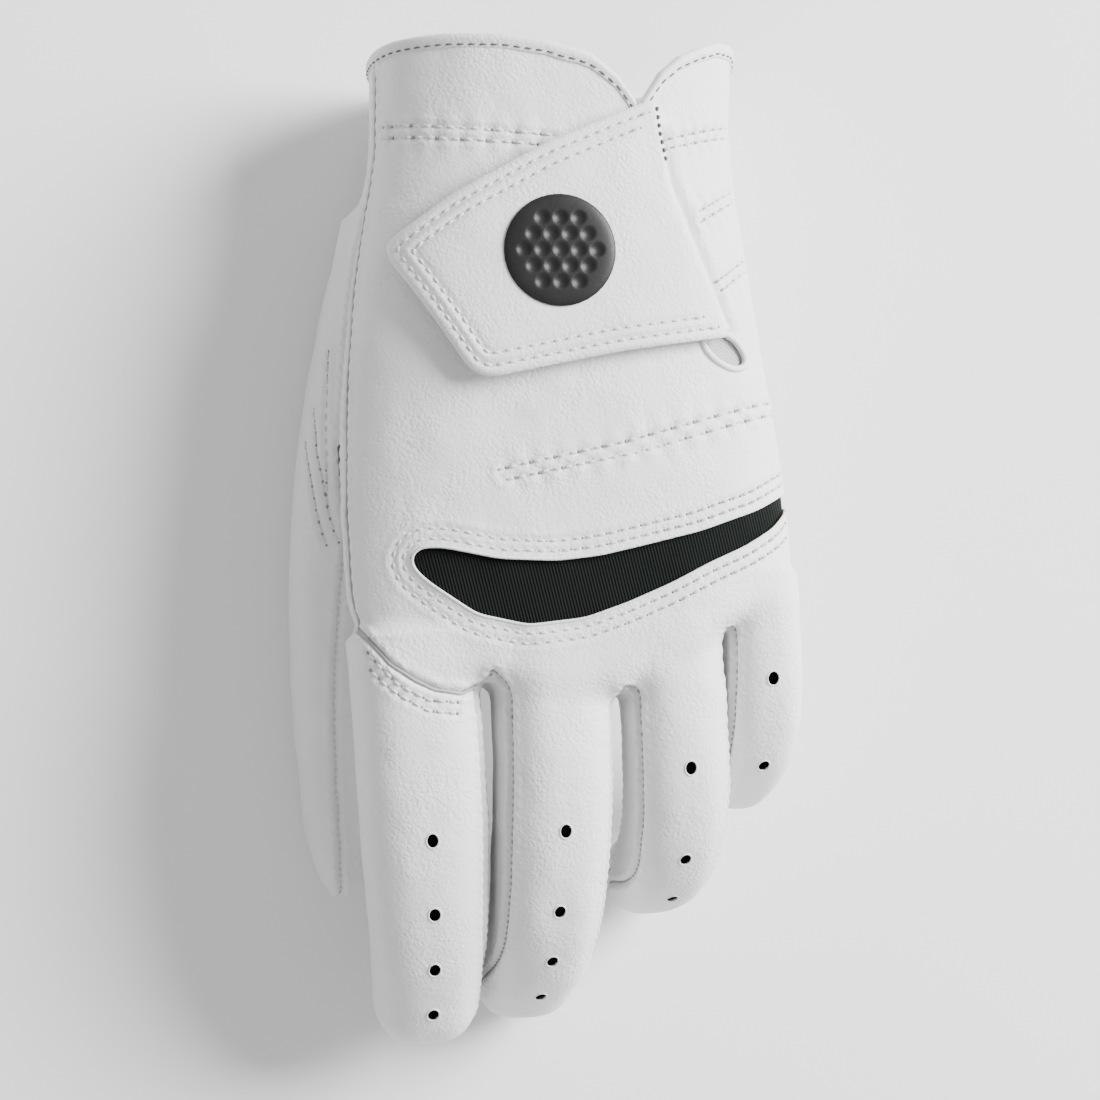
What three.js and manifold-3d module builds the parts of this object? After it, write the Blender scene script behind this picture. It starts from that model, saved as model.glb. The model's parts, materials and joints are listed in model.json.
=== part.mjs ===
// A left-hand leather golf glove, worn-shaped, lying palm down on its fingertips and the heel of the cuff.
// Row frame: millimetres, +Z up, +Y from the fingers to the cuff, +X towards the little finger.
// The glove is laid out in a hand frame, with the back of the hand level, and then tilted cuff down.
import * as THREE from "three";
import { mergeVertices } from "three/addons/utils/BufferGeometryUtils.js";
import Module from "manifold-3d";

const wasm = await Module();
wasm.setup();

// ---- driving dimensions, in millimetres and degrees ----
const WALL = 1.0; // leather with its lining and turned seams
const GAP = 0.3; // between two pieces that meet
const TILT = 5; // cuff down, so that the heel and the fingertips share one plane
const BINDING = 3.4; // how far the edge tape stands past the leather at the cuff
const FLOOR = -33.4; // height of the plane it lies on, below the middle of the knuckles

// Hand cross-sections from the knuckles to the cuff: y, centre x, centre z, half width, half height.
const HAND = [
  [-34, 4.0, 0.0, 43.0, 11.5],
  [-15, 3.6, 0.0, 44.4, 13.5],
  [5, 2.8, -1.0, 44.6, 15.5],
  [30, 1.2, -2.0, 42.6, 17.5],
  [55, 0.4, -3.0, 39.8, 19.0],
  [78, 1.0, -4.4, 36.4, 20.4],
  [104, 1.6, -5.4, 36.4, 22.4],
];
const HAND_POWER = 2.5; // superellipse exponent of the hand
const FINGER_POWER = 2.5; // and of the fingers

// Where the leather meets the finger stalls, by x across the hand: x, y.
const FRONT = [
  [-60, -16],
  [-41, -16],
  [-39.2, -18.5],
  [-34.4, -24.1],
  [-29.6, -27.2],
  [-24, -29.2],
  [-15, -29.2],
  [-4, -31],
  [10, -31.5],
  [18, -28],
  [32, -19],
  [41, -15],
  [60, -14],
];
// The cuff's top edge by angle round the wrist: 0 is the little-finger side and 90 the back of the hand.
const NOTCH_ANGLE = 72;
const CUFF_EDGE = [
  [0, 98],
  [16, 100],
  [34, 99.7],
  [46, 98],
  [56, 95.8],
  [64, 92.3],
  [NOTCH_ANGLE, 85.4],
  [79, 91.3],
  [86, 95.3],
  [94, 97.8],
  [106, 99],
  [126, 99.4],
  [152, 99],
  [180, 98],
  [215, 96],
  [242, 95],
  [270, 94],
  [298, 94.5],
  [325, 95.5],
  [360, 98],
];

// Finger stalls. root is where the centreline leaves the hand, and yaw, pitch and roll turn it, in degrees.
// The centreline is a cubic Bezier curve whose points are [forward, drop] in the stall's own plane.
// side and rise are the half width and half height at the root, the hinge and the tip.
// bend is the curve's parameter at the hinge, and holes are those of the perforations.
// flex and reach are the degrees that the stall has room to bend and to stretch.
const FINGERS = {
  index: {
    root: [-28.5, -22, 0.5],
    yaw: 4,
    pitch: 0,
    roll: 0,
    curve: [
      [0, 0],
      [30, 1],
      [58, 8],
      [73, 29],
    ],
    side: [12.6, 12.2, 9.9],
    rise: [11.0, 10.4, 8.2],
    bend: 0.46,
    flex: 25,
    reach: 12,
    holes: [0.39, 0.56, 0.7, 0.83],
  },
  middle: {
    root: [-1.7, -22, 1],
    yaw: 2,
    pitch: 0,
    roll: -5,
    curve: [
      [0, 0],
      [34, 0],
      [61, 9],
      [65, 42],
    ],
    side: [11.7, 11.2, 9.4],
    rise: [11.0, 10.4, 8.4],
    bend: 0.43,
    flex: 50,
    reach: 20,
    holes: [0.34, 0.52, 0.65, 0.78],
  },
  ring: {
    root: [22.2, -19, 0.5],
    yaw: 5,
    pitch: 0,
    roll: -5,
    curve: [
      [0, 0],
      [28, 0],
      [49, 8],
      [45, 39.5],
    ],
    side: [10.2, 10.0, 8.8],
    rise: [10.6, 10.0, 8.2],
    bend: 0.42,
    flex: 45,
    reach: 25,
    holes: [0.3, 0.55, 0.72],
  },
  little: {
    root: [41.0, -10, -1],
    yaw: 2.5,
    pitch: 0,
    roll: -5,
    curve: [
      [0, 0],
      [20, 0],
      [35, 5],
      [35, 31],
    ],
    side: [7.7, 8.0, 7.2],
    rise: [9.4, 8.8, 7.2],
    bend: 0.42,
    flex: 45,
    reach: 25,
    holes: [0.27, 0.58],
  },
  thumb: {
    root: [-22, 76, -9],
    yaw: -3.5,
    pitch: 8.7,
    roll: 90,
    curve: [
      [0, 0],
      [42, -15],
      [97, -19],
      [147, -8],
    ],
    side: [15.5, 11.5, 8.4],
    rise: [13.5, 9.2, 4.6],
    bend: 0.58,
    flex: 8,
    reach: 35,
    holes: [],
  },
};
const HOLE_RADIUS = 1.1; // perforations over the fingers

// Closure: a slit down the back of the hand, a tab sewn along its little-finger side, and its hook and loop.
const SLIT = { top: [11.6, 96], foot: [34.2, 37], half: 0.9, eye: 2.4 };
const TAB_OUTLINE = [
  [18.3, 86.2],
  [-4.7, 76.5],
  [-29.8, 61.3],
  [-34.4, 57.4],
  [-33.8, 53.6],
  [-19.6, 33],
  [-15.5, 30.9],
  [33.4, 39.8],
  [21.6, 67.5],
];
const TAB_LIFT = 3.0; // underside of the tab's leather above the hand
const EMBLEM_CENTRE = [-1.6, 55.7];
const EMBLEM_RADIUS = 11;
const DIMPLE_RADIUS = 1.4;
const DIMPLE_PITCH = 4;

// Knuckle stretch insert: its outline in plan, from the little-finger side round to it again.
const INSERT = [
  [54, 15],
  [47.8, 11.1],
  [38.9, 6.3],
  [26.6, 1.9],
  [15, -1],
  [6.4, -3],
  [-2.1, -4],
  [-13.2, -3.6],
  [-24.2, -1.3],
  [-28.6, -1.3],
  [-30.4, -3.2],
  [-29.8, -5.5],
  [-26.9, -8.3],
  [-22, -11.7],
  [-17.7, -14.6],
  [-7.7, -16.8],
  [3.5, -15.5],
  [12, -12.5],
  [20.6, -8.8],
  [28.3, -4.8],
  [36.2, -1.3],
  [42.7, 2.6],
  [48, 8.3],
  [54, 12.6],
];

// ---- curves and surfaces ----
const rad = THREE.MathUtils.degToRad;

// A value read from rows of [key, values...], by straight lines between the rows.
function linear(rows, key) {
  const last = rows.length - 1;
  const k = Math.min(Math.max(rows.findIndex((r) => r[0] > key), 1), last);
  const i = key >= rows[last][0] ? last : k;
  const t = THREE.MathUtils.clamp((key - rows[i - 1][0]) / (rows[i][0] - rows[i - 1][0]), 0, 1);
  return rows[i].slice(1).map((v, j) => THREE.MathUtils.lerp(rows[i - 1][j + 1], v, t));
}

// The same by a smooth curve through the rows.
function smooth(rows, key) {
  const found = rows.findIndex((r) => r[0] > key);
  const i = found < 0 ? rows.length - 1 : Math.max(found, 1);
  const [a, b] = [rows[i - 1], rows[i]];
  const before = rows[Math.max(i - 2, 0)];
  const after = rows[Math.min(i + 1, rows.length - 1)];
  const h = b[0] - a[0];
  const t = THREE.MathUtils.clamp((key - a[0]) / h, 0, 1);
  return a.slice(1).map((_, j) => {
    const c = j + 1;
    const m0 = ((b[c] - before[c]) / (b[0] - before[0])) * h;
    const m1 = ((after[c] - a[c]) / (after[0] - a[0])) * h;
    const t2 = t * t;
    const t3 = t2 * t;
    const fromBefore = (2 * t3 - 3 * t2 + 1) * a[c] + (t3 - 2 * t2 + t) * m0;
    const fromAfter = (3 * t2 - 2 * t3) * b[c] + (t3 - t2) * m1;
    return fromBefore + fromAfter;
  });
}

// The unit superellipse at an angle in degrees.
function oval(angle, power) {
  const [c, s] = [Math.cos(rad(angle)), Math.sin(rad(angle))];
  const bend = (v) => Math.sign(v) * Math.pow(Math.abs(v), 2 / power);
  return [bend(c), bend(s)];
}

// A point of the hand's skin, inset inwards, or outwards where inset is negative. The heel is pressed flat.
function handPoint(y, angle, inset) {
  const [cx, cz, a, b] = smooth(HAND, y);
  const [c, s] = oval(angle, HAND_POWER);
  const floor = FLOOR / Math.cos(rad(TILT)) + y * Math.tan(rad(TILT)) + Math.max(inset, 0);
  return new THREE.Vector3(cx + (a - inset) * c, y, Math.max(cz + (b - inset) * s, floor));
}

// The y of the leather's front edge and of the cuff's edge at an angle.
function frontY(angle) {
  return linear(FRONT, handPoint(-20, angle, 0).x)[0];
}

// The hand's angle right above or below a point of a finger, or straight out from it near the hand's sides.
function handAngle({ x, y, z }) {
  const [cx, cz, a, b] = smooth(HAND, y);
  const bend = (v) => Math.sign(v) * Math.pow(Math.abs(v), HAND_POWER / 2);
  const c = bend((x - cx) / a);
  const s = Math.abs(c) < 0.8 ? Math.sign(z - cz) * Math.sqrt(1 - c * c) : bend((z - cz) / b);
  return (THREE.MathUtils.radToDeg(Math.atan2(s, c)) + 360) % 360;
}

function cuffY(angle) {
  return linear(CUFF_EDGE, ((angle % 360) + 360) % 360)[0];
}

// A finger's axes: forward, drop (towards the palm) and across (the hinge direction).
function fingerAxes({ yaw, pitch, roll }) {
  const forward = new THREE.Vector3(
    Math.sin(rad(yaw)) * Math.cos(rad(pitch)),
    -Math.cos(rad(yaw)) * Math.cos(rad(pitch)),
    -Math.sin(rad(pitch)),
  );
  const drop = new THREE.Vector3(0, 0, -1);
  drop.addScaledVector(forward, -drop.dot(forward)).normalize();
  drop.applyAxisAngle(forward, rad(roll));
  return { forward, drop, across: new THREE.Vector3().crossVectors(forward, drop) };
}

// A finger's centre, direction and outward normal (towards the back of the finger) at parameter t.
function fingerFrame(finger, t) {
  const { forward, drop, across } = fingerAxes(finger);
  const curve = new THREE.CubicBezierCurve(...finger.curve.map((point) => new THREE.Vector2(...point)));
  const p = curve.getPoint(t);
  const q = curve.getTangent(t);
  return {
    centre: new THREE.Vector3(...finger.root).addScaledVector(forward, p.x).addScaledVector(drop, p.y),
    tangent: forward.clone().multiplyScalar(q.x).addScaledVector(drop, q.y),
    normal: forward.clone().multiplyScalar(q.y).addScaledVector(drop, -q.x),
    across,
    length: curve.getLength(),
  };
}

const DOME = 0.86; // where the fingertip starts to round off, as a share of the centreline
const TIP_OPEN = 0.997; // how much of the dome is built

// Half width and half height of a finger at parameter t, before the dome.
function fingerSize(finger, t) {
  const rows = [0, finger.bend, 1].map((key, i) => [key, finger.side[i], finger.rise[i]]);
  return smooth(rows, t);
}

// A point of a finger's skin. u is 0 to 1 along the stall, and the dome runs from DOME to 1.
function fingerPoint(finger, u, angle, inset) {
  const length = fingerFrame(finger, 0).length;
  const end = 1 - inset / length;
  const share = Math.max(0, (u - DOME) / (1 - DOME));
  const t = share > 0 ? DOME + (end - DOME) * share * TIP_OPEN : u;
  const reach = inset > 0 ? share : share * TIP_OPEN;
  const dome = Math.sqrt(Math.max(0, 1 - reach * reach));
  const { centre, normal, across } = fingerFrame(finger, t);
  const [side, rise] = fingerSize(finger, t);
  const [c, s] = oval(angle, FINGER_POWER);
  const least = 0.08;
  return centre
    .addScaledVector(across, Math.max(least, (side - inset) * dome) * c)
    .addScaledVector(normal, Math.max(least, (rise - inset) * dome) * s);
}

// ---- solids ----

// A closed solid between two insets of a surface point(u, angle, inset). rows are shares of the way from the
// patch's start to its end. round joins the last angle to the first.
function patch(point, rows, angles, outer, inner, round = false) {
  const layers = [outer, inner].map((inset) => rows.map((u) => angles.map((a) => point(u, a, inset))));
  const [nu, nv] = [rows.length, angles.length];
  const positions = layers.flat(2).flatMap((p) => p.toArray());
  const at = (layer, i, j) => (layer * nu + i) * nv + (j % nv);
  const faces = [];
  const quad = (a, b, c, d) => faces.push(a, b, c, a, c, d);
  const columns = round ? nv : nv - 1;
  for (let i = 0; i < nu - 1; i++)
    for (let j = 0; j < columns; j++) {
      quad(at(0, i, j), at(0, i, j + 1), at(0, i + 1, j + 1), at(0, i + 1, j));
      quad(at(1, i, j), at(1, i + 1, j), at(1, i + 1, j + 1), at(1, i, j + 1));
    }
  for (let j = 0; j < columns; j++) {
    quad(at(0, 0, j), at(1, 0, j), at(1, 0, j + 1), at(0, 0, j + 1));
    quad(at(0, nu - 1, j), at(0, nu - 1, j + 1), at(1, nu - 1, j + 1), at(1, nu - 1, j));
  }
  if (!round)
    for (let i = 0; i < nu - 1; i++) {
      quad(at(0, i, 0), at(0, i + 1, 0), at(1, i + 1, 0), at(1, i, 0));
      quad(at(0, i, nv - 1), at(1, i, nv - 1), at(1, i + 1, nv - 1), at(0, i + 1, nv - 1));
    }
  return facingOut(positions, faces);
}

// A filled solid inside a surface, from its first row to its last.
function filled(point, rows, angles, inset) {
  const rings = rows.map((u) => angles.map((a) => point(u, a, inset)));
  const nv = angles.length;
  const middle = (ring) => ring.reduce((sum, p) => sum.add(p), new THREE.Vector3()).divideScalar(nv);
  const positions = [...rings.flat(), middle(rings[0]), middle(rings.at(-1))].flatMap((p) => p.toArray());
  const faces = [];
  const [first, last] = [rings.length * nv, rings.length * nv + 1];
  for (let j = 0; j < nv; j++) {
    const k = (j + 1) % nv;
    for (let i = 0; i < rings.length - 1; i++)
      faces.push(i * nv + j, i * nv + k, (i + 1) * nv + k, i * nv + j, (i + 1) * nv + k, (i + 1) * nv + j);
    faces.push(first, k, j, last, (rings.length - 1) * nv + j, (rings.length - 1) * nv + k);
  }
  return facingOut(positions, faces);
}

// A geometry from loose numbers, turned so that its volume is positive.
function facingOut(positions, faces) {
  const at = (i) => new THREE.Vector3().fromArray(positions, faces[i] * 3);
  let volume = 0;
  for (let i = 0; i < faces.length; i += 3) volume += at(i).dot(at(i + 1).cross(at(i + 2)));
  if (volume < 0) faces.reverse();
  const geometry = new THREE.BufferGeometry();
  geometry.setAttribute("position", new THREE.Float32BufferAttribute(positions, 3));
  geometry.setIndex(faces);
  return geometry;
}

function toSolid(geometry) {
  const bare = geometry.clone();
  bare.deleteAttribute("normal");
  bare.deleteAttribute("uv");
  const merged = mergeVertices(bare, 1e-4);
  return new wasm.Manifold(
    new wasm.Mesh({
      numProp: 3,
      vertProperties: new Float32Array(merged.attributes.position.array),
      triVerts: new Uint32Array(merged.index.array),
    }),
  );
}

function toGeometry(solid) {
  const mesh = solid.getMesh();
  const geometry = new THREE.BufferGeometry();
  geometry.setAttribute("position", new THREE.BufferAttribute(mesh.vertProperties, 3));
  geometry.setIndex(new THREE.BufferAttribute(mesh.triVerts, 1));
  return geometry;
}

// Shares from 0 to 1 in even steps, and angles from one to another.
const shares = (count) => Array.from({ length: count + 1 }, (_, i) => i / count);
const spread = (from, to, count) => shares(count).map((s) => THREE.MathUtils.lerp(from, to, s));

// An upright prism over a plan outline, from z = low to z = high.
function prism(shape, curveSegments = 4, low = -6, high = 40) {
  const options = { depth: high - low, bevelEnabled: false, curveSegments };
  const geometry = new THREE.ExtrudeGeometry(shape, options);
  return toSolid(geometry.translate(0, 0, low));
}

// An outline through plan points, with its corners rounded.
function rounded(points, radius) {
  const at = (i) => new THREE.Vector2(...points[(i + points.length) % points.length]);
  const shape = new THREE.Shape();
  points.forEach((_, i) => {
    const corner = at(i);
    const cut = (to) => {
      const side = to.clone().sub(corner);
      const reach = Math.min(radius, side.length() * 0.45);
      return corner.clone().addScaledVector(side.normalize(), reach);
    };
    const [start, end] = [cut(at(i - 1)), cut(at(i + 1))];
    if (i === 0) shape.moveTo(start.x, start.y);
    else shape.lineTo(start.x, start.y);
    shape.quadraticCurveTo(corner.x, corner.y, end.x, end.y);
  });
  shape.closePath();
  return shape;
}

// The slit's outline, grown by a margin: a narrow cut that ends in a round eye.
function slitShape(grow) {
  const top = new THREE.Vector2(...SLIT.top);
  const foot = new THREE.Vector2(...SLIT.foot);
  const along = foot.clone().sub(top).normalize();
  const across = new THREE.Vector2(-along.y, along.x);
  const half = SLIT.half + grow;
  const eye = SLIT.eye + grow;
  const at = (s, w) => foot.clone().addScaledVector(along, s).addScaledVector(across, w);
  const points = [
    top.clone().addScaledVector(across, -half),
    at(-9 - grow, -half),
    at(-3, -eye * 0.8),
    at(eye * 0.6, -eye * 0.75),
    at(eye, 0),
    at(eye * 0.6, eye * 0.75),
    at(-3, eye * 0.8),
    at(-9 - grow, half),
    top.clone().addScaledVector(across, half),
  ];
  return rounded(points.map((p) => p.toArray()), 1.5);
}

// The knuckle insert's outline, grown by a margin.
function insertShape(grow) {
  const curve = new THREE.SplineCurve(INSERT.map((point) => new THREE.Vector2(...point)));
  const points = shares(46).map((s) => {
    const tangent = curve.getTangent(s);
    return curve.getPoint(s).addScaledVector(new THREE.Vector2(tangent.y, -tangent.x), grow);
  });
  return new THREE.Shape(points);
}

// ---- the glove ----
const hand = new THREE.Group();
hand.name = "hand_frame";

const LEATHER = { color: 0xeeeeee, roughness: 0.6, metalness: 0 };
const FINISHES = {
  leather: LEATHER,
  fourchette: { color: 0xe4e4e4, roughness: 0.75, metalness: 0 },
  knit: { color: 0x2d302d, roughness: 0.9, metalness: 0 },
  binding: { color: 0xe2e2e2, roughness: 0.7, metalness: 0 },
  hook_and_loop: { color: 0xdcdcdc, roughness: 0.95, metalness: 0 },
  emblem: { color: 0x454545, roughness: 0.5, metalness: 0 },
  elastic: { color: 0xd8d8d8, roughness: 0.9, metalness: 0 },
};

function add(name, geometry, finish) {
  const mesh = new THREE.Mesh(geometry, new THREE.MeshStandardMaterial(FINISHES[finish]));
  mesh.name = name;
  hand.add(mesh);
  return mesh;
}

// A surface of the hand between two edges that depend on the angle.
const handBetween = (start, end) => (u, angle, inset) =>
  handPoint(THREE.MathUtils.lerp(start(angle), end(angle), u), angle, inset);
const leatherTop = (angle) => cuffY(angle) - BINDING;
const leatherFront = (angle) => frontY(angle) + GAP;
const skin = handBetween(leatherFront, leatherTop);

const SEAM_LITTLE = -6; // angle of the side seam on the little-finger side
const SEAM_THUMB = 174; // and on the thumb side
// Angles from one to another, through every corner of the cuff's edge and halfway between the corners.
function wristAngles(from, to) {
  const corners = [-360, 0, 360].flatMap((turn) => CUFF_EDGE.slice(1).map(([angle]) => angle + turn));
  const all = corners.flatMap((angle, i) => (i ? [(corners[i - 1] + angle) / 2, angle] : [angle]));
  return [from, ...all.filter((angle) => angle > from + 1 && angle < to - 1), to];
}
const backAngles = wristAngles(SEAM_LITTLE, SEAM_THUMB);
const palmAngles = wristAngles(SEAM_THUMB + 0.8, 360 + SEAM_LITTLE - 0.8);
const roundAngles = spread(0, 360, 20).slice(0, -1);
const lengthwise = shares(9);

const insertPrism = prism(insertShape(0));
const insertHole = prism(insertShape(GAP));
const slitPrism = prism(slitShape(0));

const backSkin = toSolid(patch(skin, lengthwise, backAngles, 0, WALL));
const wristBand = handBetween(() => 79.5, () => 86.5);
const backCut = backSkin.subtract(insertHole).subtract(slitPrism);
add("knuckle_stretch_insert", toGeometry(backSkin.intersect(insertPrism)), "knit");

// The thumb stall's inside makes the opening in the palm, and the hand's outside trims the stall's base.
const thumb = FINGERS.thumb;
const thumbPoint = (u, angle, inset) => fingerPoint(thumb, u, angle, inset);
const thumbInside = toSolid(filled(thumbPoint, [0.1, 0.18, 0.28, 0.4], roundAngles, WALL + 1.2));
const handOutside = toSolid(
  filled(handBetween(() => -34, () => 104), shares(9), spread(0, 360, 28).slice(0, -1), -1.5 * GAP),
);
const palmSkin = toSolid(patch(skin, lengthwise, palmAngles, 0, WALL));
const palmCut = palmSkin.subtract(thumbInside);

// Wedge-shaped room at a finger's hinge: half of it, in shares of the centreline, at an angle.
function hingeRoom(finger, angle) {
  const [, rise] = fingerSize(finger, finger.bend);
  const height = rise * oval(angle, FINGER_POWER)[1];
  const turn = height > 0 ? finger.reach : finger.flex;
  const { length } = fingerFrame(finger, finger.bend);
  return (GAP + 0.2 + Math.abs(height) * Math.tan(rad(turn / 2)) * 1.15) / length;
}

// A finger's base, from the hand to the hinge, its tip, from the hinge on, and the sleeve between them.
function fingerParts(finger) {
  const { length } = fingerFrame(finger, 0);
  const speed = 3 * finger.curve[1][0];
  const start = (angle) => {
    const edge = linear(FRONT, fingerPoint(finger, 0.1, angle, 0).x)[0];
    return (finger.root[1] - edge + FLARE) / speed;
  };
  const along = (from, to) => (u, angle, inset) =>
    fingerPoint(finger, THREE.MathUtils.lerp(from(angle), to(angle), u), angle, inset);
  const near = (angle) => finger.bend - hingeRoom(finger, angle);
  const far = (angle) => finger.bend + hingeRoom(finger, angle);
  const gap = GAP / length;
  return {
    base: along(start, near),
    tip: along(far, () => 1),
    sleeve: along((a) => near(a) + gap, (a) => far(a) - gap),
  };
}

// Rows that crowd towards the end, for the dome of a fingertip.
const tipRows = (finger) => {
  const dome = (DOME - finger.bend) / (1 - finger.bend);
  return [0, dome * 0.33, dome * 0.66, dome, ...[0.4, 0.7, 0.9, 1].map((s) => dome + (1 - dome) * s)];
};

const FLARE = 4; // length over which the hand's skin turns into a finger's
const SEAM_BACK = 32; // angle of a finger's seams above its sides
const SEAM_PALM = 40; // and below them
const PANEL_GAP = 0.9; // degrees left at each seam
const SIDES = { right: [-SEAM_PALM, SEAM_BACK], left: [180 - SEAM_BACK, 180 + SEAM_PALM] };

// A finger's base that grows out of the hand's own skin wherever the hand's angle is inside a panel's range.
const ROOT = -1; // the row that lies inside the panel
function rooted(base, [from, to]) {
  return (u, angle, inset) => {
    if (u > ROOT) return base(u, angle, inset);
    const out = handAngle(base(0, angle, inset));
    const inside = out > from && out < to;
    const y = frontY(out) + (inside ? 3 : -3 * GAP);
    return handPoint(y, out, inside ? THREE.MathUtils.lerp(0.15, WALL - 0.15, inset / WALL) : inset);
  };
}

// A strip of a finger stall between two angles.
function strip(point, rows, [from, to], steps) {
  return patch(point, rows, spread(from + PANEL_GAP, to - PANEL_GAP, steps), 0, WALL);
}

// Round holes along the back of a finger.
function holes(finger) {
  return finger.holes.map((t) => {
    const { centre, normal } = fingerFrame(finger, t);
    const drill = new THREE.CylinderGeometry(HOLE_RADIUS, HOLE_RADIUS, 30, 8);
    const turn = new THREE.Quaternion().setFromUnitVectors(new THREE.Vector3(0, 1, 0), normal);
    drill.applyQuaternion(turn).translate(...centre.addScaledVector(normal, 15).toArray());
    return toSolid(drill);
  });
}
const drilled = (solid, finger) => holes(finger).reduce((rest, drill) => rest.subtract(drill), solid);

// The leather of each finger. The index finger's back is cut in one with the palm and wraps its outer side.
const LEATHER_STRIPS = {
  index: { wrap: { span: [SEAM_BACK, 360 - SEAM_PALM], steps: 11, of: "palm" } },
  middle: {
    back: { span: [SEAM_BACK, 180 - SEAM_BACK], steps: 5, of: "back" },
    palm: { span: [180 + SEAM_PALM, 360 - SEAM_PALM], steps: 4, of: "palm" },
  },
  ring: {
    back: { span: [SEAM_BACK, 180 - SEAM_BACK], steps: 5, of: "back" },
    palm: { span: [180 + SEAM_PALM, 360 - SEAM_PALM], steps: 4, of: "palm" },
  },
  little: {
    back: { span: [SEAM_BACK, 180 - SEAM_BACK], steps: 5, of: "back" },
    palm: { span: [180 + SEAM_PALM, 360 + SEAM_BACK], steps: 7, of: "palm" },
  },
};
const FOURCHETTES = [
  ["index", "middle"],
  ["middle", "ring"],
  ["ring", "little"],
];
const leather = { back: backCut, palm: palmCut };
const PANEL_RANGE = { back: [45, SEAM_THUMB - 1], palm: [190, 330] };

for (const [name, strips] of Object.entries(LEATHER_STRIPS)) {
  const finger = FINGERS[name];
  const { base, tip, sleeve } = fingerParts(finger);
  for (const [piece, { span, steps, of }] of Object.entries(strips)) {
    const bored = piece === "palm" ? (solid) => solid : (solid) => drilled(solid, finger);
    leather[of] = leather[of].add(
      bored(toSolid(strip(rooted(base, PANEL_RANGE[of]), [ROOT, ...shares(3)], span, steps))),
    );
    const tipSolid = toSolid(strip(tip, tipRows(finger), span, steps));
    add(`${name}_${piece}_tip`, toGeometry(bored(tipSolid)), "leather");
  }
  add(`${name}_knuckle_sleeve`, patch(sleeve, shares(2), roundAngles, 0, WALL, true), "leather");
}
add("back_panel", toGeometry(leather.back), "leather");
add("palm_panel", toGeometry(leather.palm), "leather");

// A fourchette runs up one finger's side, across the crotch and down the next finger's side.
for (const [left, right] of FOURCHETTES) {
  const [a, b] = [left, right].map((name) => fingerParts(FINGERS[name]));
  const angles = (side, flip) => {
    const all = spread(SIDES[side][0] + 5, SIDES[side][1] - 5, 4);
    return flip ? all.reverse() : all;
  };
  const [rising, falling] = [angles("right", false), angles("left", true)];
  const web = (u, k, depth) => {
    const row = THREE.MathUtils.clamp(k, 0, rising.length - 1);
    const ends = [a.base(depth, rising[row], WALL * 0.6), b.base(depth, falling[row], WALL * 0.6)];
    const point = ends[0].lerp(ends[1], k === row ? u : 0.2 + 0.6 * u);
    const out = handAngle(point);
    return k === row ? point : handPoint(frontY(out) - 3 * GAP - 20 * depth, out, WALL / 2);
  };
  const sides = [
    toSolid(strip(a.base, shares(3), SIDES.right, 4)),
    toSolid(strip(b.base, shares(3), SIDES.left, 4)),
  ];
  const crotch = toSolid(patch(web, [0, 0.5, 1], [-1, 0, 1, 2, 3, 4, 5], 0.01, 0.07));
  add(`fourchette_${left}_${right}`, toGeometry(sides[0].add(sides[1]).add(crotch)), "fourchette");
  const tips = { [left]: "right", [right]: "left" };
  for (const [name, side] of Object.entries(tips)) {
    const finger = FINGERS[name];
    const solid = strip(fingerParts(finger).tip, tipRows(finger), SIDES[side], 4);
    add(`${name}_fourchette_${side}_tip`, solid, "fourchette");
  }
}

// Thumb stall: a gusset round its base, a sleeve at the joint, and two halves at the tip.
{
  const { tip, sleeve } = fingerParts(thumb);
  const near = (angle) => thumb.bend - hingeRoom(thumb, angle);
  const gusset = (u, angle, inset) =>
    fingerPoint(thumb, THREE.MathUtils.lerp(0.1, near(angle), u), angle, inset);
  const gussetSolid = toSolid(patch(gusset, shares(5), roundAngles, 0, WALL, true)).subtract(handOutside);
  const outer = gussetSolid.decompose().sort((a, b) => b.volume() - a.volume())[0];
  add("thumb_gusset", toGeometry(outer), "leather");
  add("thumb_joint_sleeve", patch(sleeve, shares(2), roundAngles, 0, WALL, true), "leather");
  const half = (from, to) => spread(from + PANEL_GAP, to - PANEL_GAP, 8);
  add("thumb_back_tip", patch(tip, tipRows(thumb), half(0, 180), 0, WALL), "leather");
  add("thumb_palm_tip", patch(tip, tipRows(thumb), half(180, 360), 0, WALL), "leather");
}

// Cuff: one tape round the edge, from the notch round the wrist and back, and an elastic inside the wrist.
const NOTCH_GAP = 1.6;
const tapeAngles = wristAngles(NOTCH_ANGLE + NOTCH_GAP, 360 + NOTCH_ANGLE - NOTCH_GAP);
const tape = handBetween((angle) => leatherTop(angle) + GAP, cuffY);
add("cuff_binding", patch(tape, shares(1), tapeAngles, -0.5, WALL + 0.5), "binding");
const elasticDepth = WALL + 2 * GAP;
const elastic = patch(wristBand, shares(2), wristAngles(84, 322), elasticDepth, elasticDepth + 0.8);
add("wrist_elastic", elastic, "elastic");

// Facing tape inside the slit, and a woven tag inside the palm.
const inside = handBetween(() => 24, (a) => leatherTop(a) - 1);
const facingSkin = patch(inside, lengthwise, wristAngles(13.5, 84), WALL + GAP, WALL + GAP + 0.8);
const facing = toSolid(facingSkin).intersect(prism(slitShape(3.4))).subtract(slitPrism);
add("slit_facing", toGeometry(facing), "binding");
const tag = handBetween(() => 52, () => 70);
const tagAngles = wristAngles(256, 284);
add("size_tag", patch(tag, shares(2), tagAngles, WALL + GAP, WALL + GAP + 0.5), "hook_and_loop");

// Closure: loop patch on the back, and the tab with its lining, hook patch and emblem.
const drape = (shape, low, high, curveSegments) =>
  toGeometry(
    toSolid(patch(handBetween(() => 26, () => 96), shares(8), wristAngles(10, 174), -high, -low)).intersect(
      prism(shape, curveSegments),
    ),
  );
const TAB = rounded(TAB_OUTLINE, 3);
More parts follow.
